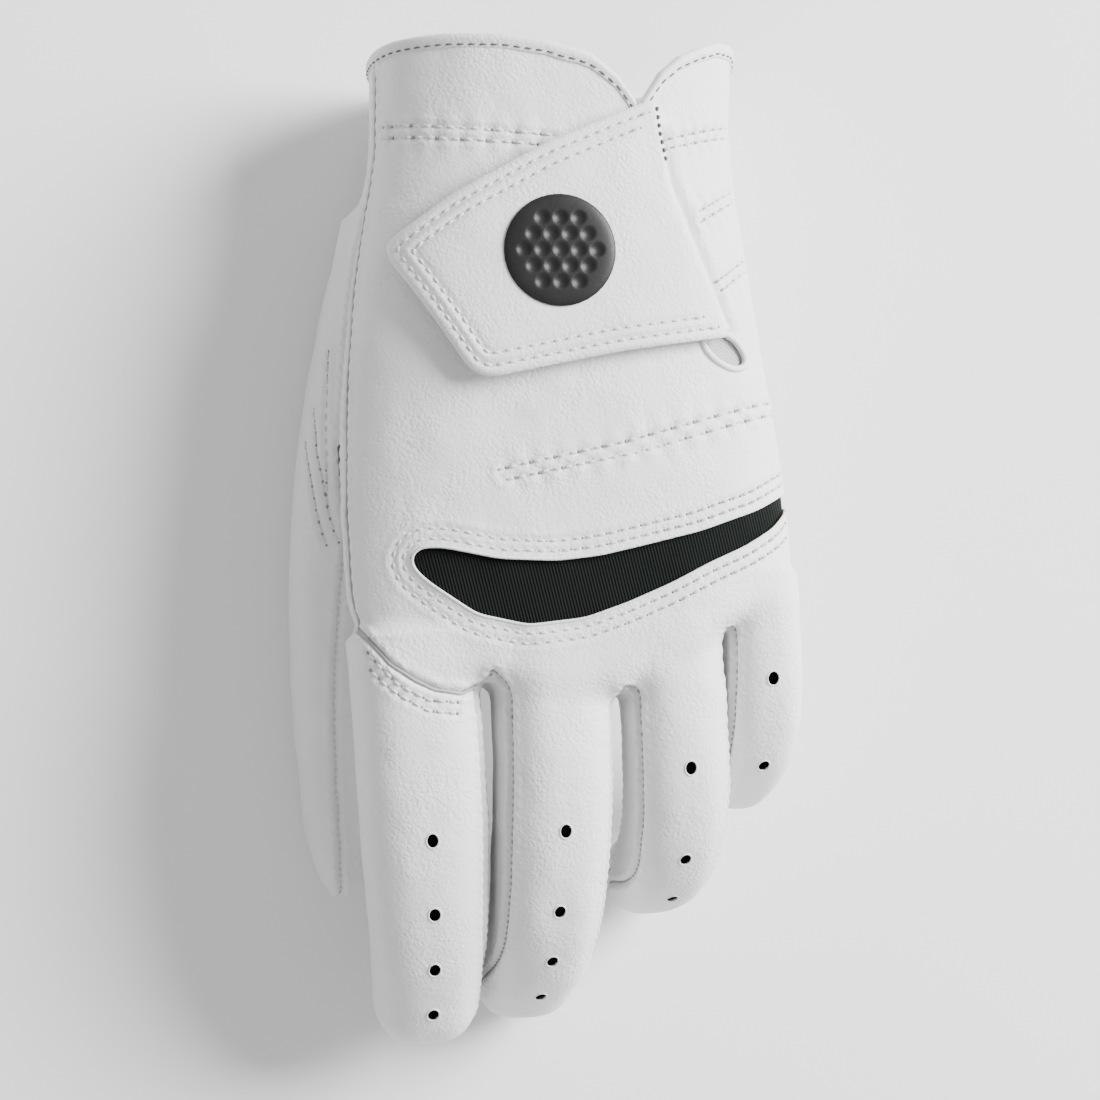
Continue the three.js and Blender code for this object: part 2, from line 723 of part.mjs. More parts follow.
// The tab's outline shrunk to a share of its size about a plan point.
const shrunk = ([x, y], share) => rounded(
  TAB_OUTLINE.map(([px, py]) => [x + (px - x) * share, y + (py - y) * share]),
  3,
);
add("loop_patch", drape(shrunk([-12, 54], 0.6), GAP, 1.1), "hook_and_loop");
add("hook_patch", drape(shrunk([-14, 54], 0.54), 1.4, 2.1), "hook_and_loop");
add("tab_lining", drape(shrunk([-2, 56], 0.9), 2.4, TAB_LIFT - GAP + 0.1), "hook_and_loop");
add("tab_leather", drape(TAB, TAB_LIFT + 0.1, TAB_LIFT + 0.1 + WALL), "leather");
// The emblem is a disc with a honeycomb of round dimples.
const emblem = new THREE.Shape().absarc(...EMBLEM_CENTRE, EMBLEM_RADIUS, 0, 2 * Math.PI);
const dimple = (x, y) => new THREE.Path().absarc(x, y, DIMPLE_RADIUS, 0, 2 * Math.PI, true);
for (let row = -2; row <= 2; row++)
  for (let i = 0; i < 5 - Math.abs(row); i++) {
    const x = (i - (4 - Math.abs(row)) / 2) * DIMPLE_PITCH;
    const y = (row * DIMPLE_PITCH * Math.sqrt(3)) / 2;
    emblem.holes.push(dimple(EMBLEM_CENTRE[0] + x, EMBLEM_CENTRE[1] + y));
  }
const emblemLow = TAB_LIFT + 0.1 + WALL + GAP;
add("emblem", drape(emblem, emblemLow, emblemLow + 0.7, 8), "emblem");

// Lay the glove down: tilt it, press the heel flat, and bring the middle of its footprint to the origin.
hand.rotation.x = -rad(TILT);
hand.updateMatrixWorld(true);
const box = new THREE.Box3().setFromObject(hand, true);
hand.position.set(-(box.min.x + box.max.x) / 2, -(box.min.y + box.max.y) / 2, -box.min.z);

const glove = new THREE.Group();
glove.add(hand);

export default glove;
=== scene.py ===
import json
import math
import bpy
import numpy as np
from mathutils import Matrix, Vector, kdtree


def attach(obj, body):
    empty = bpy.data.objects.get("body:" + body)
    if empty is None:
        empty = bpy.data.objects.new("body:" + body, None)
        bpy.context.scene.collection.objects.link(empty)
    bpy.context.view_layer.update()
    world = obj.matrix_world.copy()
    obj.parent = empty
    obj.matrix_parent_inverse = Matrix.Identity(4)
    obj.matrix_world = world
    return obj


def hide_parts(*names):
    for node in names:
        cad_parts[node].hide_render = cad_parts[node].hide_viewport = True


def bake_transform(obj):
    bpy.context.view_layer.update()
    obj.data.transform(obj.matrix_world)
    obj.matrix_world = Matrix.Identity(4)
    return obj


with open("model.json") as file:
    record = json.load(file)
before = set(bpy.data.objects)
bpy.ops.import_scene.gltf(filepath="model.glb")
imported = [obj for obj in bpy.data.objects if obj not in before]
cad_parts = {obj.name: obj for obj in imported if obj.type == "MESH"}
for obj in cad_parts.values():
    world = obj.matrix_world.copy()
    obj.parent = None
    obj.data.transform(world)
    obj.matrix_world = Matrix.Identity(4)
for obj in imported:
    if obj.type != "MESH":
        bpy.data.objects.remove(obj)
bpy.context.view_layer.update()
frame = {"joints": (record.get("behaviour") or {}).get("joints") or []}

# ---- driving dimensions: millimetres and degrees, in the hand's own frame ----
# +X is the little-finger side, +Y the cuff, +Z the back of the hand, and the knuckles' middle is the origin.
MM = 0.001
TILT = 5.0  # the hand's frame is turned by this about X, so that the heel and the fingertips share one plane
FLOOR = -33.4  # height of that plane below the knuckles' middle
WALL = 0.8  # leather
BINDING = 3.0  # height of the tape round the cuff
STEP = 0.6  # size of the cells that the skin is found on

# The hand from the knuckles to the cuff: y, centre x, centre z, half width, half height.
HAND = [
    (-34, 4.0, 0.0, 43.0, 11.5),
    (-15, 3.6, 0.0, 44.4, 13.5),
    (5, 2.8, -1.0, 44.6, 15.5),
    (30, 1.2, -2.0, 42.6, 17.5),
    (55, 0.4, -3.0, 39.8, 19.0),
    (78, 1.0, -4.4, 36.4, 20.4),
    (104, 1.6, -5.4, 36.4, 22.4),
]
OVAL = 2.5  # exponent of the sections, which are between an ellipse and a box

# Where the hand ends between the fingers: x, y.
FRONT = [(-60, -16), (-41, -16), (-34.4, -24.1), (-29.6, -27.2), (-24, -29.2), (-15, -28.6), (-4, -31),
         (10, -31.5), (18, -28), (32, -18.5), (41, -15), (60, -14)]
NOTCH = 72  # angle round the wrist of the notch in the cuff
# The cuff's edge: angle round the wrist, y. 0 is the little-finger side and 90 the back of the hand.
CUFF = [(0, 98), (16, 100), (34, 99.7), (46, 98), (56, 95.8), (64, 92.3), (NOTCH, 85.4), (79, 91.3),
        (86, 95.3), (94, 97.8), (106, 99), (126, 99.4), (152, 99), (180, 98), (215, 96), (242, 95),
        (270, 94), (298, 94.5), (325, 95.5), (360, 98)]
SEAM_LITTLE = -6  # angle of the side seam on the little-finger side
SEAM_THUMB = 171  # and on the thumb's side

# Finger stalls. The centreline is a Bezier curve whose points are (forward, drop) in the stall's own plane.
# side and rise are half widths and heights at the root, the hinge and the tip. bend is the hinge's place on
# the curve, base is where the stall leaves the hand, and holes are the perforations' places on the curve.
FINGERS = {
    "index": dict(
        root=(-28.5, -22, 0.5), yaw=4, pitch=0, roll=0,
        curve=((0, 0), (30, 1), (58, 8), (73, 29)),
        side=(12.6, 12.2, 9.9), rise=(11.0, 10.4, 8.2), bend=0.46, base=13.5,
        holes=(0.39, 0.56, 0.70, 0.83),
    ),
    "middle": dict(
        root=(-1.7, -22, 1.0), yaw=2, pitch=0, roll=-5,
        curve=((0, 0), (34, 0), (61, 9), (65, 42)),
        side=(11.7, 11.2, 9.4), rise=(11.0, 10.4, 8.4), bend=0.43, base=16.0,
        holes=(0.34, 0.52, 0.65, 0.78),
    ),
    "ring": dict(
        root=(22.2, -19, 0.5), yaw=5, pitch=0, roll=-5,
        curve=((0, 0), (28, 0), (49, 8), (45, 39.5)),
        side=(10.2, 10.0, 8.8), rise=(10.6, 10.0, 8.2), bend=0.42, base=17.0,
        holes=(0.30, 0.55, 0.72),
    ),
    "little": dict(
        root=(41.0, -10, -1.0), yaw=2.5, pitch=0, roll=-5,
        curve=((0, 0), (20, 0), (35, 5), (35, 31)),
        side=(7.7, 8.0, 7.2), rise=(9.4, 8.8, 7.2), bend=0.42, base=12.5,
        holes=(0.27, 0.58),
    ),
    "thumb": dict(
        root=(-22, 76, -9), yaw=-3.5, pitch=8.7, roll=90,
        curve=((0, 0), (42, -15), (97, -19), (147, -8)),
        side=(15.5, 11.5, 8.4), rise=(13.5, 9.2, 4.6), bend=0.58, base=58.0,
        holes=(),
    ),
}
LONG = ("index", "middle", "ring", "little")
DOME = 0.86  # where a fingertip starts to round off
SIDE_BACK = 32  # a side strip's edge above the finger's side, in degrees
SIDE_PALM = 40  # and below it
HOLE = 1.25  # half width of a perforation, which is longer along the finger
HOLE_LONG = 1.2  # by this share
FILLET = 3.0  # softness where a finger meets the hand
FRONT_FILLET = 5.0  # and of the hand's front edge
THUMB = FINGERS["thumb"]
THUMB_FILLET = 9.0  # softness where the thumb meets the palm, at its root
THUMB_FLOW = 62  # length over which it gets less
THUMB_FADE = 66  # the thumb's field fades out behind this y
THUMB_FREE = 34  # before this y, towards the tips, the thumb stays clear of the palm
THUMB_GAP = 1.3  # by this much
PALM_CUT = 24  # before this y the thumb's base doesn't cut the palm

# Knuckle insert: its outline in plan.
INSERT = [(54, 15), (47.8, 11.1), (38.9, 6.3), (26.6, 1.9), (15, -1), (6.4, -3), (-2.1, -4),
          (-13.2, -3.6), (-24.2, -1.3), (-28.6, -1.3), (-30.4, -3.2), (-29.8, -5.5), (-26.9, -8.3),
          (-22, -11.7), (-17.7, -14.6), (-7.7, -16.8), (3.5, -15.5), (12, -12.5), (20.6, -8.8),
          (28.3, -4.8), (36.2, -1.3), (42.7, 2.6), (48, 8.3), (54, 12.6)]
# Closure: the slit down the back of the hand, the tab over it and the disc on the tab.
SLIT = [(15.2, 94), (15.6, 82), (17.6, 70), (22.4, 57), (30.4, 42.6), (33.6, 38.2)]
SLIT_HALF = 0.8
EYE = [(30.4, 38.9), (34.6, 36.4)]  # the slit ends in an eye round this short line
EYE_RADIUS = 2.4
TAB = [(18.3, 86.2), (10.7, 83.2), (-4.7, 76.5), (-22.2, 67), (-34.4, 58.2), (-34.4, 55.1), (-26.3, 43.2),
       (-19.2, 32.4), (-15.5, 30.9), (10, 36.1), (33.4, 39.8), (25.6, 57.9), (20.7, 70.1)]
TAB_LIFT = 3.0
TAB_THICK = 1.1
DISC_CENTRE, DISC_RADIUS = (-1.6, 55.7), 11.0


# ---- curves and noise ----
def cos_sin(degrees):
    return math.cos(math.radians(degrees)), math.sin(math.radians(degrees))


def smooth(rows, keys):
    """Rows of key and values, read by a smooth curve at an array of keys: one array for each value."""
    rows = np.asarray(rows, float)
    k = rows[:, 0]
    i = np.clip(np.searchsorted(k, keys, side="right"), 1, len(k) - 1)
    before, after = np.maximum(i - 2, 0), np.minimum(i + 1, len(k) - 1)
    h = (k[i] - k[i - 1])[:, None]
    t = np.clip((keys - k[i - 1])[:, None] / h, 0, 1)
    m0 = (rows[i] - rows[before]) / (k[i] - k[before])[:, None] * h
    m1 = (rows[after] - rows[i - 1]) / (k[after] - k[i - 1])[:, None] * h
    t2, t3 = t * t, t * t * t
    value = (2 * t3 - 3 * t2 + 1) * rows[i - 1] + (t3 - 2 * t2 + t) * m0
    value += (3 * t2 - 2 * t3) * rows[i] + (t3 - t2) * m1
    return value[:, 1:].T


def linear(rows, keys):
    rows = np.asarray(rows, float)
    return np.interp(keys, rows[:, 0], rows[:, 1])


def power(value, exponent):
    """A power that keeps its value's sign."""
    return np.sign(value) * np.abs(value) ** exponent


def ease(t):
    t = np.clip(t, 0, 1)
    return t * t * (3 - 2 * t)


def soft_min(a, b, k):
    """The smaller of two fields, rounded where they are within k of each other."""
    h = np.clip(0.5 + 0.5 * (b - a) / k, 0, 1)
    return b + (a - b) * h - k * h * (1 - h)


def noise(points, size, seed):
    """Smooth values from -1 to 1 with features of a size."""
    q = points / size
    cell = np.floor(q).astype(np.int64)
    f = ease(q - cell)
    total = np.zeros(len(points))
    for corner in np.ndindex(2, 2, 2):
        c = (cell + corner) & 0xFFFF
        mixed = (c[:, 0] * 73856093) ^ (c[:, 1] * 19349663) ^ (c[:, 2] * 83492791) ^ (seed * 2654435761)
        mixed = (mixed ^ (mixed >> 13)) * 1274126177 & 0xFFFFFFFF
        value = ((mixed ^ (mixed >> 16)) & 0xFFFF) / 32767.5 - 1
        total += value * np.prod(np.where(corner, f, 1 - f), axis=1)
    return total


# ---- the hand's frame and the row's frame ----
def finger_axes(finger):
    """A finger's own forward, drop and sideways directions."""
    (cy, sy), (cp, sp) = cos_sin(finger["yaw"]), cos_sin(finger["pitch"])
    forward = np.array([sy * cp, -cy * cp, -sp])
    drop = np.array([0, 0, -1.0])
    drop -= drop.dot(forward) * forward
    drop /= np.linalg.norm(drop)
    c, s = cos_sin(finger["roll"])
    drop = drop * c + np.cross(forward, drop) * s
    return forward, drop, np.cross(forward, drop)


def bezier(finger, t):
    """The centreline and its unit direction at parameters t, as (forward, drop)."""
    c = np.array(finger["curve"], float)
    t = np.asarray(t, float)[:, None]
    u = 1 - t
    place = u**3 * c[0] + 3 * t * u**2 * c[1] + 3 * t**2 * u * c[2] + t**3 * c[3]
    way = u**2 * (c[1] - c[0]) + 2 * t * u * (c[2] - c[1]) + t**2 * (c[3] - c[2])
    return place, way / np.linalg.norm(way, axis=1, keepdims=True)


def finger_frame(finger, t):
    """Centre, direction and outward normal (towards the finger's back) at parameters t."""
    forward, drop, across = finger_axes(finger)
    place, way = bezier(finger, t)
    centre = np.array(finger["root"]) + place[:, :1] * forward + place[:, 1:] * drop
    return centre, way[:, :1] * forward + way[:, 1:] * drop, way[:, 1:] * forward - way[:, :1] * drop, across


def finger_length(finger):
    place, _ = bezier(finger, np.linspace(0, 1, 101))
    return np.linalg.norm(np.diff(place, axis=0), axis=1).sum()


COS_TILT, SIN_TILT = cos_sin(-TILT)
TURN = np.array([[1, 0, 0], [0, COS_TILT, -SIN_TILT], [0, SIN_TILT, COS_TILT]])
JOINTS = {joint["name"]: joint for joint in frame["joints"]}


def hinge_name(finger_name):
    return finger_name + ("_joint_bend" if finger_name == "thumb" else "_knuckle_bend")


# The index finger's hinge ties the hand's frame to the row's.
INDEX = FINGERS["index"]
INDEX_HINGE = finger_frame(INDEX, [INDEX["bend"]])[0][0]
SHIFT = np.array(JOINTS[hinge_name("index")]["pos_m"]) / MM - TURN @ INDEX_HINGE


def to_row(points):
    return (points @ TURN.T + SHIFT) * MM


# ---- fields: distances in mm, negative inside ----
def floor_height(y):
    return FLOOR / COS_TILT - y * SIN_TILT / COS_TILT


def oval_field(u, w, a, b):
    """Distance from an oval of half sizes a and b, at u and w from its middle."""
    u, w = np.abs(u) / a, np.abs(w) / b
    g = np.maximum((u**OVAL + w**OVAL) ** (1 / OVAL), 1e-6)
    slope = np.hypot((u / g) ** (OVAL - 1) / a, (w / g) ** (OVAL - 1) / b)
    return (g - 1) / np.maximum(slope, 0.02)


def hand_field(p):
    cx, cz, a, b = smooth(HAND, p[:, 1])
    around = oval_field(p[:, 0] - cx, p[:, 2] - cz, a, b)
    around = np.maximum(around, floor_height(p[:, 1]) - p[:, 2])
    front = linear(FRONT, p[:, 0]) + 1.5 - p[:, 1]
    return -soft_min(-around, -front, FRONT_FILLET)


def finger_place(finger, p):
    """Parameter on the centreline, and place across, above and past it, of points near a finger."""
    forward, drop, across = finger_axes(finger)
    rel = p - np.array(finger["root"])
    flat = np.stack([rel @ forward, rel @ drop], axis=1)
    samples = np.linspace(0, DOME, 49)
    path, _ = bezier(finger, samples)
    t = np.empty(len(p))
    for i in range(0, len(p), 40000):
        part = flat[i:i + 40000]
        far = ((part[:, None, :] - path[None]) ** 2).sum(2)
        t[i:i + 40000] = samples[np.argmin(far, axis=1)]
    speed = finger_length(finger)
    for _ in range(3):
        place, way = bezier(finger, t)
        t = np.clip(t + ((flat - place) * way).sum(1) / speed, 0, DOME)
    place, way = bezier(finger, t)
    off = flat - place
    past = (off * way).sum(1)
    above = off[:, 0] * way[:, 1] - off[:, 1] * way[:, 0]
    return t, rel @ across, above, past


def finger_size(finger, t):
    rows = [(key, finger["side"][i], finger["rise"][i]) for i, key in enumerate((0, finger["bend"], 1))]
    return smooth(rows, t)


def finger_field(finger, p):
    t, across, above, past = finger_place(finger, p)
    side, rise = finger_size(finger, t)
    around = oval_field(across, above, side, rise)
    cap = (1 - DOME) * finger_length(finger)
    g = around / np.minimum(side, rise) + 1
    ended = (np.sqrt(np.maximum(g, 0) ** 2 + (past / cap) ** 2) - 1) * np.minimum(side, rise)
    return np.where(past > 1e-3, ended, around)


def finger_angle(finger, p):
    """Angle round a finger, as its panels are laid out: 0 across to the little-finger side, 90 its back."""
    t, across, above, _ = finger_place(finger, p)
    side, rise = finger_size(finger, t)
    return t, np.degrees(np.arctan2(power(above / rise, OVAL / 2), power(across / side, OVAL / 2)))


FAR = 60.0  # stands for a field's value where it doesn't matter
REACH = 24  # how far from its centreline a finger's field matters


def field_near(name, p):
    """A finger's field, which fades out behind its root."""
    finger = FINGERS[name]
    centre = finger_frame(finger, np.linspace(0, 1, 9))[0]
    near = ((p > centre.min(0) - REACH) & (p < centre.max(0) + REACH)).all(1)
    value = np.full(len(p), FAR)
    if near.any():
        behind = (np.array(finger["root"]) - p[near]) @ finger_axes(finger)[0]
        value[near] = finger_field(finger, p[near]) + 1.2 * np.maximum(0, behind - 4)
    return value


def glove_field(p):
    hand = hand_field(p)
    return np.minimum.reduce([soft_min(hand, field_near(name, p), FILLET) for name in LONG])


def thumb_softness(p):
    """How softly the thumb flows into the palm: less and less along it and towards the back of the hand."""
    _, cz, _, b = smooth(HAND, p[:, 1])
    along = (THUMB["root"][1] - p[:, 1]) / THUMB_FLOW
    low = ease((0.1 - (p[:, 2] - cz) / b) / 0.45)
    return THUMB_FILLET * (1 - ease(along)) * low + 0.4


def thumb_alone(p):
    """The thumb's own field, which fades out behind its root."""
    return field_near("thumb", p) + 1.6 * np.maximum(0, p[:, 1] - THUMB_FADE)


def thumb_field(p):
    hand = hand_field(p)
    free = ease((THUMB_FREE - p[:, 1]) / 14)
    thumb = np.maximum(thumb_alone(p), free * (THUMB_GAP - hand) - (1 - free) * 40)
    return soft_min(hand, thumb, thumb_softness(p))


def gradient(field, p, h=0.06):
    """Unit normals of a field, and its slopes."""
    slope = np.stack([field(p + h * e) - field(p - h * e) for e in np.eye(3)], axis=1)
    return slope / np.maximum(np.linalg.norm(slope, axis=1, keepdims=True), 1e-9), slope / (2 * h)


def settle(field, p, rounds=2):
    """Points moved onto a field's surface, with their normals."""
    for _ in range(rounds):
        normal, slope = gradient(field, p)
        steep = np.maximum(np.linalg.norm(slope, axis=1), 0.3)
        p = p - normal * np.clip(field(p) / steep, -0.7, 0.7)[:, None]
    return p, gradient(field, p)[0]


# ---- surfaces: rows of place and normal, and triangles ----
def sampled(field, low, count, block=4):
    """A field on a grid: exact near its surface, and a block's middle value elsewhere."""
    coarse = -(-count // block)
    middles = [low[i] + STEP * (block * np.arange(coarse[i]) + (block - 1) / 2) for i in range(3)]
    grid = np.stack(np.meshgrid(*middles, indexing="ij"), axis=3).reshape(-1, 3)
    value = field(grid).reshape(coarse)
    for axis in range(3):
        value = np.repeat(value, block, axis=axis)
    value = value[:count[0], :count[1], :count[2]].copy()
    near = np.argwhere(np.abs(value) < block * STEP * 1.5)
    exact = [field(np.array(low) + part * STEP) for part in np.array_split(near, 8)]
    value[tuple(near.T)] = np.concatenate(exact)
    return value


def surface_net(field, low, high):
    """Triangles of a field's zero surface in a box."""
    count = np.ceil((np.array(high) - low) / STEP).astype(int) + 1
    value = sampled(field, low, count)
    inside = value < 0
    corners = np.array(list(np.ndindex(2, 2, 2)))
    among = sum(inside[x:x + count[0] - 1, y:y + count[1] - 1, z:z + count[2] - 1].astype(int)
                for x, y, z in corners)
    cells = np.argwhere((among > 0) & (among < 8))
    v = np.stack([value[tuple((cells + c).T)] for c in corners], axis=1)
    total, crossings = np.zeros((len(cells), 3)), np.zeros(len(cells))
    for a in range(8):
        for b in range(a + 1, 8):
            if np.abs(corners[a] - corners[b]).sum() != 1:
                continue
            cross = (v[:, a] < 0) != (v[:, b] < 0)
            t = np.where(cross, v[:, a] / np.where(cross, v[:, a] - v[:, b], 1), 0)[:, None]
            total += cross[:, None] * (corners[a] + t * (corners[b] - corners[a]))
            crossings += cross
    points = np.array(low) + (cells + total / crossings[:, None]) * STEP
    ids = np.full(count - 1, -1)
    ids[tuple(cells.T)] = np.arange(len(cells))
    quads = []
    for axis in range(3):
        u, w = (axis + 1) % 3, (axis + 2) % 3
        first, second = [slice(1, -1)] * 3, [slice(1, -1)] * 3
        first[axis], second[axis] = slice(0, -1), slice(1, None)
        starts = inside[tuple(first)]
        at = np.argwhere(starts != inside[tuple(second)])
        at[:, u] += 1
        at[:, w] += 1
        outward = inside[tuple(at.T)]
        back_u, back_w = np.eye(3, dtype=int)[u], np.eye(3, dtype=int)[w]
        ring = [at - back_u - back_w, at - back_w, at, at - back_u]
        quad = np.stack([ids[tuple(c.T)] for c in ring], axis=1)
        quads.append(np.where(outward[:, None], quad, quad[:, ::-1]))
    quads = np.concatenate(quads)
    quads = quads[(quads >= 0).all(1)]
    return points, np.concatenate([quads[:, [0, 1, 2]], quads[:, [0, 2, 3]]])


def tidied(rows, tris):
    used, index = np.unique(tris, return_inverse=True)
    return rows[used], index.reshape(-1, 3)


def cut(surface, value):
    """The part of a surface where value, a function of place, is above 0."""
    rows, tris = surface
    if not len(tris):
        return surface
    level = value(rows[:, :3])
    level = np.where(np.abs(level) < 1e-4, 1e-4, level)
    up = level > 0
    count = up[tris].sum(1)

    def turned(part, lone):
        k = np.argmax(up[part] == lone, axis=1)
        return part[np.arange(len(part))[:, None], (k[:, None] + np.arange(3)) % 3]

    one, two = turned(tris[count == 1], True), turned(tris[count == 2], False)
    pairs = np.sort(np.concatenate([one[:, [0, 1]], one[:, [0, 2]], two[:, [0, 1]], two[:, [0, 2]]]), axis=1)
    if not len(pairs):
        return tidied(rows, tris[count == 3]) if (count == 3).any() else (rows[:0], tris[:0])
    edges, index = np.unique(pairs, axis=0, return_inverse=True)
    t = (level[edges[:, 0]] / (level[edges[:, 0]] - level[edges[:, 1]]))[:, None]
    added = rows[edges[:, 0]] * (1 - t) + rows[edges[:, 1]] * t
    ab1, ac1, ab2, ac2 = np.split(len(rows) + index.ravel(), np.cumsum([len(one), len(one), len(two)]))
    faces = np.concatenate([
        tris[count == 3],
        np.stack([one[:, 0], ab1, ac1], axis=1),
        np.stack([ab2, two[:, 1], two[:, 2]], axis=1),
        np.stack([ab2, two[:, 2], ac2], axis=1),
    ])
    return tidied(np.concatenate([rows, added]), faces)


def halves(surface, value):
    return cut(surface, value), cut(surface, lambda p: -value(p))


def biggest(surface):
    """The largest connected piece of a surface."""
    rows, tris = surface
    label = np.arange(len(rows))
    while True:
        low = label[tris].min(1)
        new = label.copy()
        np.minimum.at(new, tris.ravel(), np.repeat(low, 3))
        new = new[new]
        if (new == label).all():
            break
        label = new
    names, counts = np.unique(label[tris[:, 0]], return_counts=True)
    return tidied(rows, tris[label[tris[:, 0]] == names[np.argmax(counts)]])


def two_sided(tris, count):
    """Faces of a closed sheet whose back has the same number of points as its front."""
    edge = rim(tris)
    sides = np.stack([edge[:, 1], edge[:, 0], edge[:, 0] + count, edge[:, 1] + count], axis=1)
    return [tris, tris[:, ::-1] + count, sides]


def ring_grid(count, sides):
    """Numbers of the points of a row of rings, and of each one's neighbour round its ring."""
    i, j = np.meshgrid(np.arange(count), np.arange(sides), indexing="ij")
    return i * sides + j, i * sides + (j + 1) % sides


def rim(tris):
    """Directed edges that only one triangle has."""
    edges = np.concatenate([tris[:, [0, 1]], tris[:, [1, 2]], tris[:, [2, 0]]])
    big = edges.max() + 1
    key, back = edges[:, 0] * big + edges[:, 1], edges[:, 1] * big + edges[:, 0]
    return edges[~np.isin(key, back)]


def normals_of(points, tris):
    a, b, c = points[tris[:, 0]], points[tris[:, 1]], points[tris[:, 2]]
    face = np.cross(b - a, c - a)
    total = np.zeros_like(points)
    for i in range(3):
        np.add.at(total, tris[:, i], face)
    return total / np.maximum(np.linalg.norm(total, axis=1, keepdims=True), 1e-12)


def outline_distance(outline):
    """Distance in plan from a closed outline, above 0 inside it, as a function of place."""
    a = np.array(outline, float)
    b = np.roll(a, -1, axis=0)

    def distance(p):
        q = p[:, :2]
        best, inside = np.full(len(q), 1e9), np.zeros(len(q), bool)
        for (x0, y0), (x1, y1) in zip(a, b):
            d = np.array([x1 - x0, y1 - y0])
            t = np.clip(((q - (x0, y0)) @ d) / max(d @ d, 1e-9), 0, 1)
            best = np.minimum(best, np.hypot(q[:, 0] - x0 - t * d[0], q[:, 1] - y0 - t * d[1]))
            if y0 != y1:
                line_x = (x1 - x0) * (q[:, 1] - y0) / (y1 - y0) + x0
                inside ^= ((y0 > q[:, 1]) != (y1 > q[:, 1])) & (q[:, 0] < line_x)
        return np.where(inside, best, -best)

    return distance


# ---- Blender objects ----
def volume(points, faces):
    """What closed faces hold, which is below 0 if they face inwards."""
    total = 0.0
    for part in faces:
        for k in range(1, part.shape[1] - 1):
            a, b, c = points[part[:, 0]], points[part[:, k]], points[part[:, k + 1]]
            total += (a * np.cross(b, c)).sum()
    return total


def mesh_object(name, points, faces, material, normals=None):
    """An object from points in mm in the hand's frame and a list of arrays of triangles or quads."""
    points = np.column_stack([points[:, :2], np.maximum(points[:, 2], floor_height(points[:, 1]) + 0.01)])
    mesh = bpy.data.meshes.new(name)
    mesh.vertices.add(len(points))
    mesh.vertices.foreach_set("co", to_row(points).astype(np.float32).ravel())
    faces = [part for part in faces if len(part)]
    if volume(points, faces) < 0:
        faces = [part[:, ::-1] for part in faces]
    sizes = np.concatenate([np.full(len(part), part.shape[1]) for part in faces])
    mesh.loops.add(int(sizes.sum()))
    mesh.loops.foreach_set("vertex_index", np.concatenate([part.ravel() for part in faces]).astype(np.int32))
    mesh.polygons.add(len(sizes))
    starts = np.concatenate([[0], np.cumsum(sizes)[:-1]])
    mesh.polygons.foreach_set("loop_start", starts.astype(np.int32))
    mesh.polygons.foreach_set("loop_total", sizes.astype(np.int32))
    mesh.polygons.foreach_set("use_smooth", np.ones(len(sizes), bool))
    mesh.update(calc_edges=True)
    mesh.materials.append(material)
    if normals is not None:
        mesh.normals_split_custom_set_from_vertices((normals @ TURN.T).tolist())
    made = bpy.data.objects.new(name, mesh)
    bpy.context.scene.collection.objects.link(made)
    return made


def place(piece, body, slot, nodes=()):
    """A piece that rides a body, and the CAD nodes that it replaces."""
    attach(piece, body)
    if nodes:
        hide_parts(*nodes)


def shell(name, outer, inward, tris, material, thickness, inside=None):
    """A closed sheet from an outer surface inward. inside is the material of its back."""
    normal = normals_of(outer, tris)
    points = np.concatenate([outer, outer + inward * thickness])
    faces = two_sided(tris, len(outer))
    made = mesh_object(name, points, faces, material, np.concatenate([normal, -normal]))
    if inside:
        made.data.materials.append(inside)
        index = np.zeros(len(made.data.polygons), np.int32)
        index[len(tris):2 * len(tris)] = 1
        made.data.polygons.foreach_set("material_index", index)
    return made


def tree_of(points):
    tree = kdtree.KDTree(len(points))
    for i, point in enumerate(points):
        tree.insert(point, i)
    tree.balance()
    return tree


def nearest(tree, points, limit=5.0):
    """Distance to the nearest point of a tree, no more than a limit, and that point's number."""
    found = [tree.find(point) for point in points]
    return np.minimum([hit[2] for hit in found], limit), np.array([hit[1] for hit in found])


